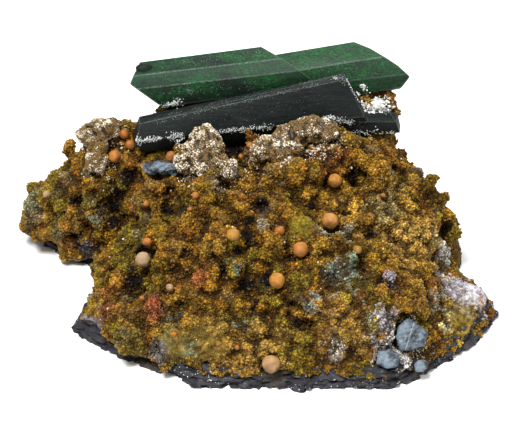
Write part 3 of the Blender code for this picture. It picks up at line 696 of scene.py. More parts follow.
def green_vivianite_material(green, dust):
    """Vivianite: a soft, see-through green crystal with lengthwise streaks under a thin dull film, with painted
    green glow where light comes out of it.
    """
    crystal = Surface("green_vivianite")
    streaks = crystal.noise(0.35, 5.0, 0.7, crystal.squeezed((0.09, 1.0, 1.0), GREEN_LEAN))
    lengthwise = crystal.squeezed((0.5, 1.0, 1.0), GREEN_LEAN)
    glow_flecks, cloud = crystal.noise(0.24, 4.0, 0.7, lengthwise), crystal.noise(2.6, 4.0, 0.6, lengthwise)
    # More light comes out of the right blade than out of the left one: painted as a brighter green glow in its
    # colour, and given as more transmission
    across = crystal.add("SeparateXYZ", {"Vector": crystal.place})["X"]
    lit = crystal.ranged(across, -BLADES_MEET, BLADES_MEET, -0.13, 0.07)
    glow = crystal.maths("ADD", cloud, crystal.maths("ADD", lit, crystal.attribute("glow")))
    # Painted glow: bright green in the colour, broken into flecks, stands in for light coming out of the crystal
    bright = crystal.maths("MULTIPLY", crystal.ranged(glow, 0.36, 0.74, 0.0, 1.0),
                           crystal.ranged(glow_flecks, 0.42, 0.66, 0.0, 0.8))
    worn = crystal.maths("ADD", streaks, crystal.noise(0.22, 3.0, 0.8))
    film = crystal.ranged(worn, 0.85, 1.2, 0.0, 0.75)
    skin = crystal.blend(crystal.maths("MULTIPLY", film, crystal.attribute("bloom")), "#0e1a12", dust)
    clear = crystal.maths("MULTIPLY", crystal.ranged(film, 0.0, 0.7, 0.6, 0.2),
                          crystal.ranged(across, -BLADES_MEET, BLADES_MEET, 0.4, 1.0))
    return crystal.finished(
        {"Base Color": worn_edges(crystal, crystal.blend(bright, skin, "#0f8230")), "IOR": 1.6, "Roughness": 0.6,
         "Specular IOR Level": 0.06, "Transmission Weight": clear, "Normal": crystal.bump(streaks, 0.3, 0.06)},
        Volume=crystal.add("VolumeAbsorption", {"Color": green, "Density": 420.0})["Volume"])


def dark_vivianite_material():
    """Weathered vivianite: oxidised to nearly black green, striated along its length, with a dusty bloom."""
    crystal = Surface("dark_vivianite")
    streaks = crystal.noise(0.3, 5.0, 0.65, crystal.squeezed((0.06, 1.0, 1.0), DARK_LEAN))
    worn = crystal.maths("ADD", streaks, crystal.noise(0.3, 4.0, 0.7))
    cover = crystal.maths("MULTIPLY", crystal.ranged(worn, 0.85, 1.2, 0.0, 0.7), crystal.attribute("bloom"))
    return crystal.finished({"Base Color": worn_edges(crystal, crystal.blend(cover, "#080c0c", DARK_DUST)),
                             "IOR": 1.6, "Specular IOR Level": 0.14,
                             "Roughness": crystal.ranged(worn, 0.8, 1.2, 0.48, 0.7),
                             "Normal": crystal.bump(streaks, 0.4, 0.08)})


def blue_grey_material():
    """Altered vivianite: broken blue grey plates, dull, with paler cleavage lines."""
    plates = Surface("blue_grey_vivianite")
    cloud = plates.noise(2.0, 5.0, 0.6)
    grain = plates.noise(0.3, 4.0, 0.7, plates.squeezed((0.2, 1.0, 1.0), FIBRE_LEAN))
    offset = plates.add("VectorMath", {0: plates.place, 1: tuple(c * MM for c in CLEAVAGE_POINT)},
                        operation="SUBTRACT")["Vector"]
    side = plates.add("VectorMath", {0: offset, 1: CLEAVAGE_NORMAL}, operation="DOT_PRODUCT")["Value"]
    line = plates.ranged(plates.maths("ABSOLUTE", side), 0.03 * MM, 0.13 * MM, 0.3, 0.0)
    tone = plates.blend(plates.ranged(cloud, 0.42, 0.6, 0.0, 1.0), "#232b33", "#66727d")
    streaked = plates.blend(plates.ranged(grain, 0.5, 0.7, 0.0, 0.16), tone, "#8e99a4")
    return plates.finished({"Base Color": plates.blend(line, streaked, "#b8bfc6"), "Roughness": 0.5, "IOR": 1.6,
                            "Specular IOR Level": 0.3, "Normal": plates.bump(cloud, 0.5, 0.15)})


def face_tree(*meshes):
    """A search tree over all faces of some meshes."""
    corners, faces = [], []
    for mesh in meshes:
        first = len(corners)
        corners += [v.co.copy() for v in mesh.vertices]
        faces += [[first + k for k in p.vertices] for p in mesh.polygons]
    return BVHTree.FromPolygons(corners, faces)


def crystal_tree():
    """All pieces that the limonite's knobs and grains have to leave free."""
    free = ("vivianite", "blue", "wavellite_ball")
    return face_tree(*(node.data for name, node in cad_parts.items() if name.startswith(free)))


def clear_of(tree, where, reaches):
    """Which places are at least so far from the crystals."""
    return np.array([tree.find_nearest(Vector(p), d)[0] is None for p, d in zip(where, reaches)])


def distance_to(mesh, where, reach):
    """How far each place is from a mesh, up to a reach."""
    tree = face_tree(mesh)
    return np.array([tree.find_nearest(Vector(p), reach)[3] or reach for p in where])


def outside_smooth_places(where):
    """Which places aren't on one of the crust's smooth areas."""
    return np.all([distances(where, centre) > radius for centre, radius in SMOOTH_PLACES], axis=0)


def brokenness(places):
    """How much the crust may be broken up at each place: wholly but on its smooth areas."""
    share = np.ones(len(places))
    for centre, radius in SMOOTH_PLACES:
        share *= 1 - 0.85 * nearness(places, centre, radius * 1.2)
    return share


def openness_and_rise(places, normals, triangles, reach):
    """How open the view is at each vertex, and how far it stands out of its neighbourhood in mm."""
    tree = BVHTree.FromPolygons([Vector(p) for p in places], triangles.tolist())
    level = np.column_stack([smoothed(places[:, k], triangles, 8) for k in range(3)])
    return openness(places, normals, tree, reach), ((places - level) * normals).sum(1) / MM


def knob_colours(places, centres, settings):
    """The colour of the knob that each vertex is nearest to."""
    tree = KDTree(len(centres))
    for k, centre in enumerate(centres):
        tree.insert(centre, k)
    tree.balance()
    nearest = np.array([tree.find(p)[1] for p in places])
    wide = noise_at(centres, 8.0, octaves=2, shift=17.0)
    medium = noise_at(centres, 3.0, octaves=2, shift=91.0)
    rng = draws("knob_colours")
    count = len(centres)
    colours = mix(settings.ochre, settings.gold, np.clip(2.2 * wide + rng.random(count) - 0.3, 0, 1))
    colours = mix(colours, settings.olive, np.clip(-2.6 * wide + 0.9 * rng.random(count) - 0.35, 0, 0.85))
    colours = mix(colours, settings.rust, np.clip(2.4 * medium - 1.0 + 0.6 * rng.random(count), 0, 0.7))
    colours = mix(colours, settings.grey, np.clip(-2.4 * medium - 1.1 + 0.7 * rng.random(count), 0, 0.7))
    colours *= np.exp(rng.normal(0, 0.2, count))[:, None]
    return colours[nearest]


def limonite_colours(places, normals, triangles, knobs, settings):
    """The colour of the limonite at each vertex, from its knob and its stains, with painted shade where it is
    sheltered and painted light on its raised tops.
    """
    free, rise = openness_and_rise(places, normals, triangles, 2.4 * MM)
    free = smoothed(free, triangles, 1)
    medium = noise_at(places, 2.2, shift=31.0)
    fine = noise_at(places, 0.8, octaves=2, shift=57.0)
    colours = knob_colours(places, knobs, settings)
    for centre, radius, code, strength in STAINS.values():
        inside = nearness(places, centre, radius * 1.05, 0.6 * medium + 0.6 * fine)
        colours = mix(colours, code, strength * inside)
    # Brown between the knobs and lighter on their tops as painted shade and light, and nearly black in the gaps,
    # under shelter and in the pits as painted shade over a dark stain
    raised = np.clip(0.62 + rise / 0.22 + 0.3 * fine, 0, 1)
    colours = mix(mix(colours, settings.brown, np.full(len(places), 0.75)), colours, raised)
    # Painted highlight: the raised tops are made lighter
    colours *= (1.25 + 0.2 * np.clip(rise / 0.2, 0, 1))[:, None]
    # Painted shade in the gaps between the clumps
    gaps = np.maximum(clumps(places, *LARGE_CLUMPS) ** 1.5, 0.7 * clumps(places, *SMALL_CLUMPS) ** 2)
    colours = mix(colours, settings.pit, 0.55 * np.clip(gaps * brokenness(places), 0, 1))
    # Painted shade where the view out of the stone is closed
    colours = mix(colours, settings.pit, np.clip((0.6 - free) / 0.25, 0, 0.97))
    # Painted shade over a dark stain in the pits
    for centre, radius, deep in PITS:
        colours = mix(colours, settings.pit, 0.97 * in_pit(places, centre, radius * 0.8, deep, 0.5 * medium))
    return colours, free


def clumps(places, size, shift):
    """How deep each place lies between rounded clumps of a size in mm: 0 on a clump, 1 in a gap."""
    offset = Vector((shift, -shift, shift * 0.5))
    gaps = np.empty(len(places))
    for k, place in enumerate(places):
        near = noise.voronoi(Vector(place) / (size * MM) + offset)[0]
        gaps[k] = near[1] - near[0]
    return np.clip(1 - gaps / 0.4, 0, 1)


def carve(made):
    """Sinks the gaps between clumps and the dark pits into the limonite."""
    places, normals, triangles = mesh_arrays(made.data)
    steady = unit(np.column_stack([smoothed(normals[:, k], triangles, 12) for k in range(3)]))
    # The foot stays whole, where the crust meets the slate
    top = np.clip((places[:, 2] / MM - 3.2) / 1.5, 0, 1)
    uneven = np.clip(0.75 + noise_at(places, 6.0, octaves=2, shift=11.0), 0.1, 1.5)
    depth = clumps(places, *LARGE_CLUMPS) ** 1.5 * 1.9 * uneven + clumps(places, *SMALL_CLUMPS) * 0.75
    sunk = places - steady * (depth * top * brokenness(places) * MM)[:, None]
    for centre, radius, deep in PITS:
        distance = distances(places, centre) / radius
        share = np.clip(1 - (distance / 1.5) ** 2, 0, 1) ** 1.5
        sunk -= steady[np.argmin(distance)] * (share * deep * MM)[:, None]
    move_vertices(made, sunk)


class SpecimenLimonite(bpy.types.Operator):
    """Builds the limonite crust with its small knobs"""

    bl_idname = "specimen.limonite"
    bl_label = "Limonite crust"

    def execute(self, context):
        settings = context.scene.specimen_limonite
        rng = draws("crust")
        made = object_from(merged_copy("limonite_mass"), "limonite_crust")
        fuse(made, settings.grid * 1.3)
        carve(made)
        where, facing, _, _ = spread(mesh_arrays(made.data), settings.knobs, rng)
        sizes = np.sort(settings.knob_smallest + (settings.knob_largest - settings.knob_smallest) * rng.random(
            settings.knobs) ** 1.8)[::-1]
        # No knobs on smooth places, beside crystals, on the underside, in the gaps or in the pits
        kept = outside_smooth_places(where) & clear_of(crystal_tree(), where, sizes)
        kept &= (facing[:, 2] > -0.5) | (where[:, 2] > 3.5 * MM)
        kept &= clumps(where, *LARGE_CLUMPS) < 0.6
        for centre, radius, _ in PITS:
            kept &= nearness(where, centre, radius * 1.3) < 0.5
        where, facing, sizes = picked(kept, where, facing, sizes)
        where, facing, sizes = picked(spaced(where, sizes, 0.8), where, facing, sizes)
        add_knobs(made, where, facing, sizes, 0.15, rng)
        behind = np.array([place for place, _ in KNOBS_BEHIND]) * MM
        add_knobs(made, behind, np.tile((0.0, 0.0, 1.0), (len(behind), 1)),
                  np.array([radius for _, radius in KNOBS_BEHIND]) * MM, 0.0, rng)
        self.skirt(made, rng)
        fuse(made, settings.grid)
        self.roughen(made, where, settings)
        dress(made, limonite_material(crust=True), ("limonite_mass",), smooth=70)
        return {"FINISHED"}

    def skirt(self, made, rng):
        """Adds low knobs where the crust has run down over the slate's broken edge."""
        where, facing, _, _ = spread(mesh_arrays(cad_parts["slate_base"].data), SKIRT_TRIES, rng)
        x, z = where[:, 0] / MM, where[:, 2] / MM
        foot = np.interp(x, *CRUST_FOOT)
        foot = foot + 0.7 * noise_at(where, 4.0, octaves=2, shift=21.0)
        sizes = rng.uniform(0.4, 0.75, len(where)) * MM
        kept = (z > foot) & (facing[:, 2] > -0.3) & clear_of(crystal_tree(), where, sizes)
        where, facing, sizes = picked(kept, where, facing, sizes)
        where, facing, sizes = picked(spaced(where, sizes, 0.55), where, facing, sizes)
        add_knobs(made, where, facing, sizes, 0.55, rng)

    def roughen(self, made, knobs, settings):
        """Crumbles the fused skin and keeps its colours."""
        places, normals, triangles = mesh_arrays(made.data)
        relief = noise_at(places, 0.9, octaves=3, shift=7.0) * 0.18 - clumps(places, *CREASES) * 0.2
        height = np.clip(places[:, 2] / (1.5 * MM) - 0.5, 0, 1)
        places += normals * (relief * height * MM)[:, None]
        move_vertices(made, places)
        colours, free = limonite_colours(places, normals, triangles, knobs, settings)
        store_colours(made.data, colours)
        store_values(made.data, "free", free)
        smooth = [nearness(places, centre, radius * 1.15, edge=0.6) for centre, radius in SMOOTH_PLACES]
        store_values(made.data, "smooth_place", 0.6 * np.max(smooth, axis=0))


class SpecimenGrains(bpy.types.Operator):
    """Covers the limonite crust with its fine grains"""

    bl_idname = "specimen.grains"
    bl_label = "Limonite grains"

    def execute(self, context):
        settings = context.scene.specimen_limonite
        crust = bpy.data.objects["limonite_crust"].data
        arrays = mesh_arrays(crust)
        stone = np.empty(len(crust.vertices) * 4, dtype=np.float32)
        crust.attributes["stone_colour"].data.foreach_get("color", stone)
        stone = stone.reshape(-1, 4)[:, :3].astype(float)
        free = np.empty(len(crust.vertices), dtype=np.float32)
        crust.attributes["free"].data.foreach_get("value", free)
        material = limonite_material(crust=False)
        crystals = crystal_tree()
        for layer in range(1, GRAIN_LAYERS + 1):
            rng = draws("grains", layer)
            where, facing, corners, shares = spread(arrays, settings.grains * 2, rng)
            # Each grain takes the crust's colour beneath it, painted shade and light included
            colours = (stone[corners] * shares).sum(1)
            shelter = (free[corners] * shares[:, :, 0]).sum(1)
            sizes = settings.grain_smallest + (settings.grain_largest - settings.grain_smallest) * rng.random(
                len(where)) ** 2.4
            kept = ((facing[:, 2] > -0.4) | (where[:, 2] > 3.4 * MM)) & (shelter > 0.35)
            # Fewer grains where the surface looks away from the camera
            kept &= (facing @ INWARD <= 0.25) | (rng.random(len(where)) < 0.4)
            kept &= clear_of(crystals, where, sizes * 1.1)
            # Finer ones on the smooth places
            sizes[~outside_smooth_places(where)] *= 0.55
            chosen = np.flatnonzero(kept)[:settings.grains]
            where, facing, colours, sizes = picked(chosen, where, facing, colours, sizes)
            colours = self.varied(where, colours, settings, rng)
            uneven = sizes[:, None] * rng.uniform(0.7, 1.25, (len(sizes), 3))
            # Each grain gets painted shade at its foot and a painted highlight at its tip
            made = joined_copies(f"limonite_grains_{layer}", grain_shape(rng, 0.3),
                                 where + facing * sizes[:, None] * 0.25, standing_frames(facing, 0.35, rng), uneven,
                                 colours, shading=0.5)
            dress(made, material)
        return {"FINISHED"}

    def varied(self, where, colours, settings, rng):
        """Gives each grain its own tone, and turns some white where fine wavellite covers the crust."""
        tone = np.exp(rng.normal(-0.05, 0.25, len(where)))
        colours = colours * tone[:, None] * rng.uniform(0.93, 1.07, (len(where), 3))
        white = np.full(len(where), 0.0015)
        for centre, radius, share in WHITE_CRUSTS.values():
            white = np.maximum(white, share * nearness(where, centre, radius, edge=0.6))
        for share, code in ((0.03, "#80501c"), (0.04, "#746c58"), (0.05, "#90743a")):
            tinted = rng.random(len(where)) < share
            colours[tinted] = mix(colours[tinted], code, rng.uniform(0.2, 0.7, tinted.sum()))
        pale = rng.random(len(where)) < white
        colours[pale] = mix(colours[pale], settings.white, rng.uniform(0.35, 1.0, pale.sum()))
        return np.clip(colours, 0.004, 0.9)


def strew_crystals(node, reach, density, whiteness, material, rng):
    """Strews fine crystals over the limonite round a piece, fewer with the distance."""
    where, facing, _, _ = spread(mesh_arrays(bpy.data.objects["limonite_crust"].data), STRAY_TRIES, rng)
    low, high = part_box(node)
    inside = np.all((where > np.array(low) - reach) & (where < np.array(high) + reach), axis=1)
    where, facing = picked(inside, where, facing)
    away = distance_to(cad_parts[node].data, where, reach)
    kept = rng.random(len(where)) < density * (1 - away / reach) ** 1.3
    kept &= noise_at(where, 1.5, octaves=2, shift=33.0) > -0.12
    where, facing = picked(kept, where, facing)
    thick = rng.uniform(0.07, 0.17, len(where)) * MM
    white = np.clip(whiteness + rng.normal(0, 0.4, len(where)), 0, 1)
    made = joined_copies(node + "_strays", grain_shape(rng, 0.25), where + facing * 0.2 * MM,
                         standing_frames(facing, 0.45, rng), thick[:, None] * np.array([[1, 1, 1.4]]),
                         mix("#64501f", CRYSTAL_WHITE, white))
    dress(made, material)


class SpecimenDruses(bpy.types.Operator):
    """Builds the white and tan wavellite crusts below and beside the blades"""

    bl_idname = "specimen.druses"
    bl_label = "Wavellite druses"

    def execute(self, context):
        material = wavellite_material()
        for order, (node, whiteness) in enumerate(DRUSES.items()):
            rng = draws("druses", order)
            made = object_from(merged_copy(node), node + "_crust")
            where, facing, _, _ = spread(mesh_arrays(made.data), DRUSE_KNOB_TRIES, rng)
            sizes = np.sort(rng.uniform(0.45, 0.95, len(where)) * MM)[::-1]
            where, facing, sizes = picked(spaced(where, sizes, 0.75), where, facing, sizes)
            add_knobs(made, where, facing, sizes, 0.3, rng)
            fuse(made, DRUSE_GRID)
            arrays = mesh_arrays(made.data)
            free, rise = openness_and_rise(*arrays, 1.6 * MM)
            # Painted shade: the skin is nearly black where it is sheltered or sunk and brown on its open knobs; the
            # limonite's stain goes over it
            free = free * np.clip(0.5 + rise / 0.25, 0, 1)
            base = mix("#120a03", "#3f3016", np.clip(free * 1.2, 0, 1))
            store_colours(made.data, mix(base, "#4c380f", self.near_limonite(arrays[0])))
            dress(made, material, (node,), smooth=60)
            self.crystals(node, arrays, free, whiteness, material, rng)
        return {"FINISHED"}

    def near_limonite(self, places):
        """How far limonite stains each place on a druse: wholly beside the limonite, less and less away from it."""
        away = distance_to(bpy.data.objects["limonite_crust"].data, places, STAIN_REACH)
        uneven = 0.5 * noise_at(places, 1.2, octaves=2, shift=64.0)
        broken = in_pit(places, *DRUSE_BREAK, uneven)
        return np.clip(np.maximum(1.2 * (1 - away / STAIN_REACH) + uneven, broken), 0, 1)

    def crystals(self, node, arrays, free, whiteness, material, rng):
        """Stands fine crystals on a druse, white at the knobs' tops and tan between them."""
        where, facing, corners, shares = spread(arrays, DRUSE_CRYSTAL_TRIES, rng)
        height = (free[corners] * shares[:, :, 0]).sum(1)
        where, facing, height = picked(height > 0.3, where, facing, height)
        thick = rng.uniform(0.09, 0.2, len(where)) * MM
        sizes = np.column_stack((thick, thick, thick * rng.uniform(1.0, 1.9, len(where))))
        patches = noise_at(where, 1.8, octaves=3, shift=77.0)
        white = np.clip(whiteness * 1.6 - 0.45 + 1.4 * (height - 0.6) + 1.8 * patches
                        + rng.normal(0, 0.5, len(where)), 0, 1)
        colours = mix("#6e5834", CRYSTAL_WHITE, white)
        colours = mix(colours, "#7c5c28", (rng.random(len(where)) < 0.3) * 0.9)
        colours = mix(colours, "#78581c", self.near_limonite(where) * (rng.random(len(where)) < 0.85))
        # Each crystal gets painted shade at its foot and a painted highlight at its tip
        made = joined_copies(node + "_crystals", grain_shape(rng, 0.25), where,
                             standing_frames(facing, 0.45, rng), sizes, colours, shading=0.5)
        dress(made, material)
        strew_crystals(node, 4.0 * MM, 0.55, whiteness + 0.3, material, rng)


class SpecimenBalls(bpy.types.Operator):
    """Builds the wavellite balls"""

    bl_idname = "specimen.balls"
    bl_label = "Wavellite balls"

    def execute(self, context):
        material = ball_material()
        for order, code in enumerate(BALL_COLOURS, start=1):
            node = f"wavellite_ball_{order:02d}"
            low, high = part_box(node)
            made = self.globe(f"globe_{order:02d}", (low + high) / 2, (high - low).x / 2, code)
            dress(made, material, (node,), smooth=80)
        for order, (centre, radius) in enumerate(BEADS, start=1):
            made = self.globe(f"bead_{order:02d}", Vector(centre) * MM, radius * MM, BEAD_COLOUR, subdivisions=3)
            dress(made, material, smooth=80)
        return {"FINISHED"}

    def globe(self, name, centre, radius, code, subdivisions=4):
        """A slightly uneven ball, browner and darker towards its foot."""
        bm = bmesh.new()
        bmesh.ops.create_icosphere(bm, subdivisions=subdivisions, radius=radius, matrix=Matrix.Translation(centre))
        for vertex in bm.verts:
            out = (vertex.co - centre).normalized()
            vertex.co += out * noise.fractal(vertex.co / (0.6 * MM), 1.0, 2.0, 3) * 0.1 * MM
        made = object_from(bm, name)
        places, _, _ = mesh_arrays(made.data)
        foot = np.clip(0.35 - (places[:, 2] - centre.z) / radius * 0.6 + 0.6 * noise_at(places, 1.0), 0, 0.85)
        store_colours(made.data, mix(code, "#4c3110", foot))
        return made


def worn_crystal(node, width, least=-1):
    """A packed crystal with worn edges where its faces meet at more than a least angle, and the worn faces."""
    bm = merged_copy(node)
    bmesh.ops.dissolve_limit(bm, angle_limit=math.radians(1), verts=bm.verts, edges=bm.edges)
    sharp = [edge for edge in bm.edges if edge.calc_face_angle(0.0) > math.radians(least)]
    rims = bmesh.ops.bevel(bm, geom=sharp, offset=width, offset_type="OFFSET", segments=2, profile=0.5,
                           affect="EDGES", material=-1, clamp_overlap=True)["faces"]
    bm.faces.index_update()
    return bm, {face.index for face in rims}


class SpecimenBlades(bpy.types.Operator):
    """Builds the vivianite blades"""

    bl_idname = "specimen.blades"
    bl_label = "Vivianite blades"

    def execute(self, context):
        settings = context.scene.specimen_blades
        green = green_vivianite_material((*settings.green, 1.0), (*settings.dust, 1.0))
        dark = dark_vivianite_material()
        for node, slot, material in zip(BLADES, ("dark_vivianite", "green_vivianite", "green_vivianite"),
                                        (dark, green, green)):
            bm, rims = worn_crystal(node, settings.bevel, least=12)
            made = object_from(bm, node.replace("vivianite_", ""))
            self.bloom(made.data, rims)
            dress(made, material, (node,), smooth=25)
        bm = bmesh.new()
        bmesh.ops.create_icosphere(bm, subdivisions=4, radius=1.15 * MM)
        bmesh.ops.scale(bm, vec=(1.35, 0.9, 0.85), verts=bm.verts)
        for vertex in bm.verts:
            vertex.co *= 1 + 0.12 * noise.noise(vertex.co / (0.7 * MM))
        bmesh.ops.translate(bm, vec=Vector(BLADE_KNOB) * MM, verts=bm.verts)
        dress(object_from(bm, "left_blade_knob"), green, smooth=60)
        return {"FINISHED"}

    def bloom(self, mesh, rims):
        """Keeps for each face how dusty it is, how much painted green glow it is given, more where it faces up, and
        whether it is a worn edge.
        """
        upward = [face.normal.z for face in mesh.polygons]
        dusty = [0.45 + 0.8 * math.exp(-((z - 0.6) / 0.2) ** 2) + 0.3 * max(0.0, z) for z in upward]
        store_values(mesh, "bloom", dusty, "FACE")
        # Painted glow: stronger on faces that look up
        store_values(mesh, "glow", [0.05 + 0.09 * max(0.0, min(1.0, (z - 0.7) / 0.2)) for z in upward], "FACE")
        store_values(mesh, "edge", [float(k in rims) for k in range(len(upward))], "FACE")


class SpecimenFringes(bpy.types.Operator):
    """Grows fine white crystals along the blades' edges and strews dust on their faces"""

    bl_idname = "specimen.fringes"
    bl_label = "Fringes"

    def execute(self, context):
        material = wavellite_material()
        host = face_tree(*(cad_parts[name].data for name in (*BLADES, "limonite_mass")))
        for runs, name, long, code in (
            (FRINGES, "white_fringe", 1.7, "#e6e8e4"), (DUST, "blade_dust", 1.0, "#a3b0a8"),
        ):
            rng = draws("fringes")
            where, facing, sizes = [], [], []
            for start, end, count, stray, largest in runs.values():
                along = rng.random((count, 1))
                spots = np.array(start) * (1 - along) + np.array(end) * along
                clump = noise_at(spots * MM, 1.6, octaves=2)[:, None]
                spots = spots + rng.normal(0, stray, (count, 3)) * (0.7 + clump)
                for spot in spots[clump[:, 0] > -0.35]:
                    place, normal, _, _ = host.find_nearest(Vector(spot) * MM)
                    where.append(place)
                    facing.append(normal)
                    sizes.append(largest * MM * rng.uniform(0.2, 1.0) ** 1.5 / long)
            where, facing, sizes = np.array(where), np.array(facing), np.array(sizes)
            shape = np.column_stack((sizes * 0.5, sizes * 0.4, sizes * 0.5 * long))
            pale = mix("#77796c", code, rng.random(len(where)) ** 0.5)
            made = joined_copies(name, grain_shape(rng, 0.2), where, standing_frames(facing, 0.7, rng), shape, pale)
            dress(made, material)
        return {"FINISHED"}


class SpecimenBlueCrystals(bpy.types.Operator):
    """Builds the blue grey crystals and the shard"""

    bl_idname = "specimen.blue_crystals"
    bl_label = "Blue grey crystals"

    def execute(self, context):
        material = blue_grey_material()
        crust = wavellite_material()
        for order, node in enumerate((*BLUE_CRYSTALS, SHARD)):
            bm, _ = worn_crystal(node, PLATE_GRID)
            made = object_from(bm, node.replace("vivianite_", "") + "_plates")
            fuse(made, PLATE_GRID)
            if node == SHARD:
                self.taper(made)
            self.wear(made, 0.4 if node == SHARD else 0.22)
            dress(made, material, (node,), smooth=40)
            if node != SHARD:
                strew_crystals(node, 1.6 * MM, 2.0, 0.55, crust, draws("blue_crystals", order))
        return {"FINISHED"}

    def taper(self, made):
        """Thins the shard unevenly towards both ends."""
        places, _, _ = mesh_arrays(made.data)
        middle = (places.min(0) + places.max(0)) / 2
        along = (places[:, 0] - middle[0]) / (np.ptp(places[:, 0]) / 2)
        thin = 1 - 0.35 * np.abs(along) ** 1.6 - 0.5 * np.clip(noise_at(places, 1.6, shift=3.0), -0.3, 1)
        places[:, 1:] = middle[1:] + (places[:, 1:] - middle[1:]) * thin[:, None]
        move_vertices(made, places)

    def wear(self, made, depth):
        """Chips a crystal's flat faces and edges by up to about so many mm."""
        places, normals, _ = mesh_arrays(made.data)
        chips = 0.7 * noise_at(places, 1.4, octaves=2, shift=5.0) + 0.5 * noise_at(places, 0.5, octaves=2, shift=9.0)
        move_vertices(made, places + normals * (np.clip(chips, -1, 0.3) * depth * MM)[:, None])


class SpecimenSlate(bpy.types.Operator):
    """Builds the slate with its ragged beds and mica flakes"""

    bl_idname = "specimen.slate"
    bl_label = "Slate"

    def execute(self, context):
        settings = context.scene.specimen_slate
        rng = draws("slate")
        made = object_from(self.stacked_beds(settings), "slate_beds")
        slate = slate_material((*settings.slate, 1.0))
        dress(made, slate, ("slate_base",), smooth=40)
        where, facing, _, _ = spread(mesh_arrays(made.data), settings.flakes * 8, rng)
        clustered = noise_at(where, 3.0, octaves=2, shift=63.0) + rng.normal(0, 0.12, len(where)) > 0.2
        kept = (np.abs(facing[:, 2]) < 0.7) & (where[:, 2] > 0.15 * MM) & clustered
        where, facing = picked(np.flatnonzero(kept)[:settings.flakes], where, facing)
        bm = bmesh.new()
        bmesh.ops.create_cone(bm, cap_ends=True, segments=6, radius1=1, radius2=0.9, depth=0.3)
        sizes = rng.uniform(0.05, 0.15, (len(where), 1)) * MM * np.ones((1, 3))
        flakes = joined_copies("slate_mica", mesh_from(bm, "flake"), where, standing_frames(facing, 0.5, rng), sizes,
                               np.ones((len(where), 3)))
        dress(flakes, mica_material())
        return {"FINISHED"}

    def stacked_beds(self, settings):
        """Lofts the slate's edge from many outlines, each cut from the solid and made ragged."""
        low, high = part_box("slate_base")
        points = 520
        bm = bmesh.new()
        ring = None
        for bed in range(settings.beds + 1):
            share = bed / settings.beds
            cut = min(max(share, 0.02), 0.98)
            outline = self.outline_at(low.z + (high.z - low.z) * cut, points)
            level = low.z + (high.z - low.z) * share
            corners = []
            for k, place in enumerate(outline):
                before, after = outline[k - 1], outline[(k + 1) % points]
                out = Vector((after.y - before.y, before.x - after.x, 0)).normalized()
                flat = Vector((place.x, place.y, 0))
                broad = noise.noise(flat / (2.4 * MM) + Vector((0, 0, bed * 0.35)))
                chip = noise.cell(noise.voronoi(flat / (1.4 * MM) + Vector((0, 0, bed * 0.45)))[1][0] * 7.3)
                fine = noise.noise(flat / (0.7 * MM) + Vector((0, 0, bed * 3.1)))
                shift = settings.raggedness * (0.8 * broad + 1.5 * (chip - 0.5) + 0.6 * fine)
                corners.append(bm.verts.new((place.x + out.x * shift, place.y + out.y * shift, level)))
            edges = [bm.edges.new((corners[k - 1], corners[k])) for k in range(points)]
            if ring is None:
                bm.faces.new(corners)
            else:
                bmesh.ops.bridge_loops(bm, edges=ring + edges)
            ring = edges
        bm.faces.new(corners)
        bmesh.ops.recalc_face_normals(bm, faces=bm.faces)
        bmesh.ops.triangulate(bm, faces=[f for f in bm.faces if len(f.verts) > 4])
        return bm

    def outline_at(self, level, count):
        """The solid's outline at a height, as evenly spaced points from its leftmost one."""
        bm = merged_copy("slate_base")
        cut = bmesh.ops.bisect_plane(bm, geom=bm.verts[:] + bm.edges[:] + bm.faces[:], plane_co=(0, 0, level),
                                     plane_no=(0, 0, 1), clear_inner=True, clear_outer=True)
        edges = {e for e in cut["geom_cut"] if isinstance(e, bmesh.types.BMEdge)}
        start = min((v for e in edges for v in e.verts), key=lambda v: v.co.x)
        walk, here, used = [start.co.copy()], start, set()
        while True:
            step = next((e for e in here.link_edges if e in edges and e not in used), None)
            if step is None:
                break
            used.add(step)
            here = step.other_vert(here)
            walk.append(here.co.copy())
        bm.free()
        if sum(a.x * b.y - b.x * a.y for a, b in zip(walk, walk[1:])) < 0:
            walk.reverse()
        lengths = np.concatenate(([0.0], np.cumsum([(b - a).length for a, b in zip(walk, walk[1:])])))
        spots = np.linspace(0, lengths[-1], count, endpoint=False)
        xs = np.interp(spots, lengths, [p.x for p in walk])
        ys = np.interp(spots, lengths, [p.y for p in walk])
        return [Vector((x, y, level)) for x, y in zip(xs, ys)]


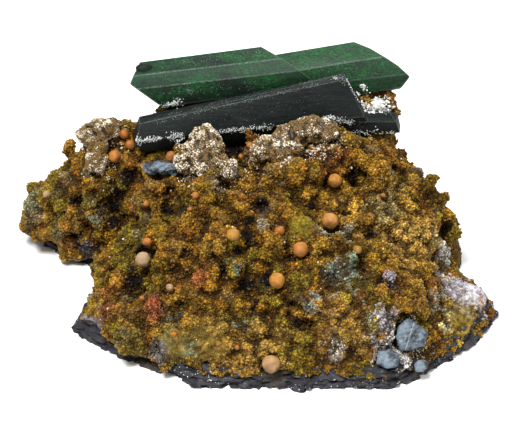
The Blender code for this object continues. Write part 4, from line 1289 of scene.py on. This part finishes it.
class SpecimenStage(bpy.types.Operator):
    """Adds the floor, the lights and the camera"""

    bl_idname = "specimen.stage"
    bl_label = "Stage"

    def execute(self, context):
        settings = context.scene.specimen_stage
        bm = bmesh.new()
        bmesh.ops.create_grid(bm, x_segments=1, y_segments=1, size=3)
        floor = object_from(bm, "floor")
        card = Surface("white_card")
        tone = card.blend(card.noise(40.0), (0.9, 0.9, 0.9, 1.0), (0.94, 0.94, 0.94, 1.0))
        floor.data.materials.append(
            card.finished({"Base Color": tone, "Roughness": 0.9, "Specular IOR Level": 0.1}))
        camera = linked("camera", bpy.data.cameras.new("camera"))
        camera.data.lens = settings.lens
        camera.data.clip_start = 0.01
        back = Vector((0, -math.cos(settings.elevation), math.sin(settings.elevation)))
        camera.location = TARGET + back * settings.distance
        camera.rotation_euler = (math.radians(90) - settings.elevation, 0, 0)
        context.scene.camera = camera
        for name, place, size, power in (
            ("key", (-0.16, -0.2, 0.55), 0.22, settings.key),
            ("fill", (0.35, -0.25, 0.35), 0.4, settings.key * 0.16),
            ("back", (0.1, 0.4, 0.4), 0.3, settings.key * 0.3),
        ):
            light = linked(name, bpy.data.lights.new(name, "AREA"))
            light.data.size = size
            light.data.energy = power
            light.location = place
            light.rotation_euler = (TARGET - light.location).to_track_quat("-Z", "Y").to_euler()
        world = bpy.data.worlds.new("studio")
        world.use_nodes = True
        background = world.node_tree.nodes["Background"].inputs
        background["Color"].default_value = (1, 1, 1, 1)
        background["Strength"].default_value = settings.fill
        context.scene.world = world
        context.scene.view_settings.view_transform = "Standard"
        return {"FINISHED"}


OPERATORS = (
    SpecimenLimonite, SpecimenGrains, SpecimenDruses, SpecimenBalls, SpecimenBlades, SpecimenFringes,
    SpecimenBlueCrystals, SpecimenSlate, SpecimenStage,
)


class SpecimenPanel(bpy.types.Panel):
    """Lists the pieces of the specimen in the sidebar"""

    bl_idname = "VIEW3D_PT_specimen"
    bl_label = "Specimen"
    bl_space_type = "VIEW_3D"
    bl_region_type = "UI"
    bl_category = "Specimen"

    def draw(self, context):
        for operator in OPERATORS:
            self.layout.operator(operator.bl_idname)


SETTINGS = {
    "specimen_limonite": LimoniteSettings,
    "specimen_slate": SlateSettings,
    "specimen_blades": BladeSettings,
    "specimen_stage": StageSettings,
}


def register():
    for group in SETTINGS.values():
        bpy.utils.register_class(group)
    for name, group in SETTINGS.items():
        setattr(bpy.types.Scene, name, PointerProperty(type=group))
    for made in (*OPERATORS, SpecimenPanel):
        bpy.utils.register_class(made)


def unregister():
    for made in (SpecimenPanel, *reversed(OPERATORS)):
        bpy.utils.unregister_class(made)
    for name, group in SETTINGS.items():
        delattr(bpy.types.Scene, name)
        bpy.utils.unregister_class(group)


def main():
    register()
    bpy.ops.specimen.limonite()
    bpy.ops.specimen.grains()
    bpy.ops.specimen.druses()
    bpy.ops.specimen.balls()
    bpy.ops.specimen.blades()
    bpy.ops.specimen.fringes()
    bpy.ops.specimen.blue_crystals()
    bpy.ops.specimen.slate()
    bpy.ops.specimen.stage()


if __name__ == "__main__":
    main()
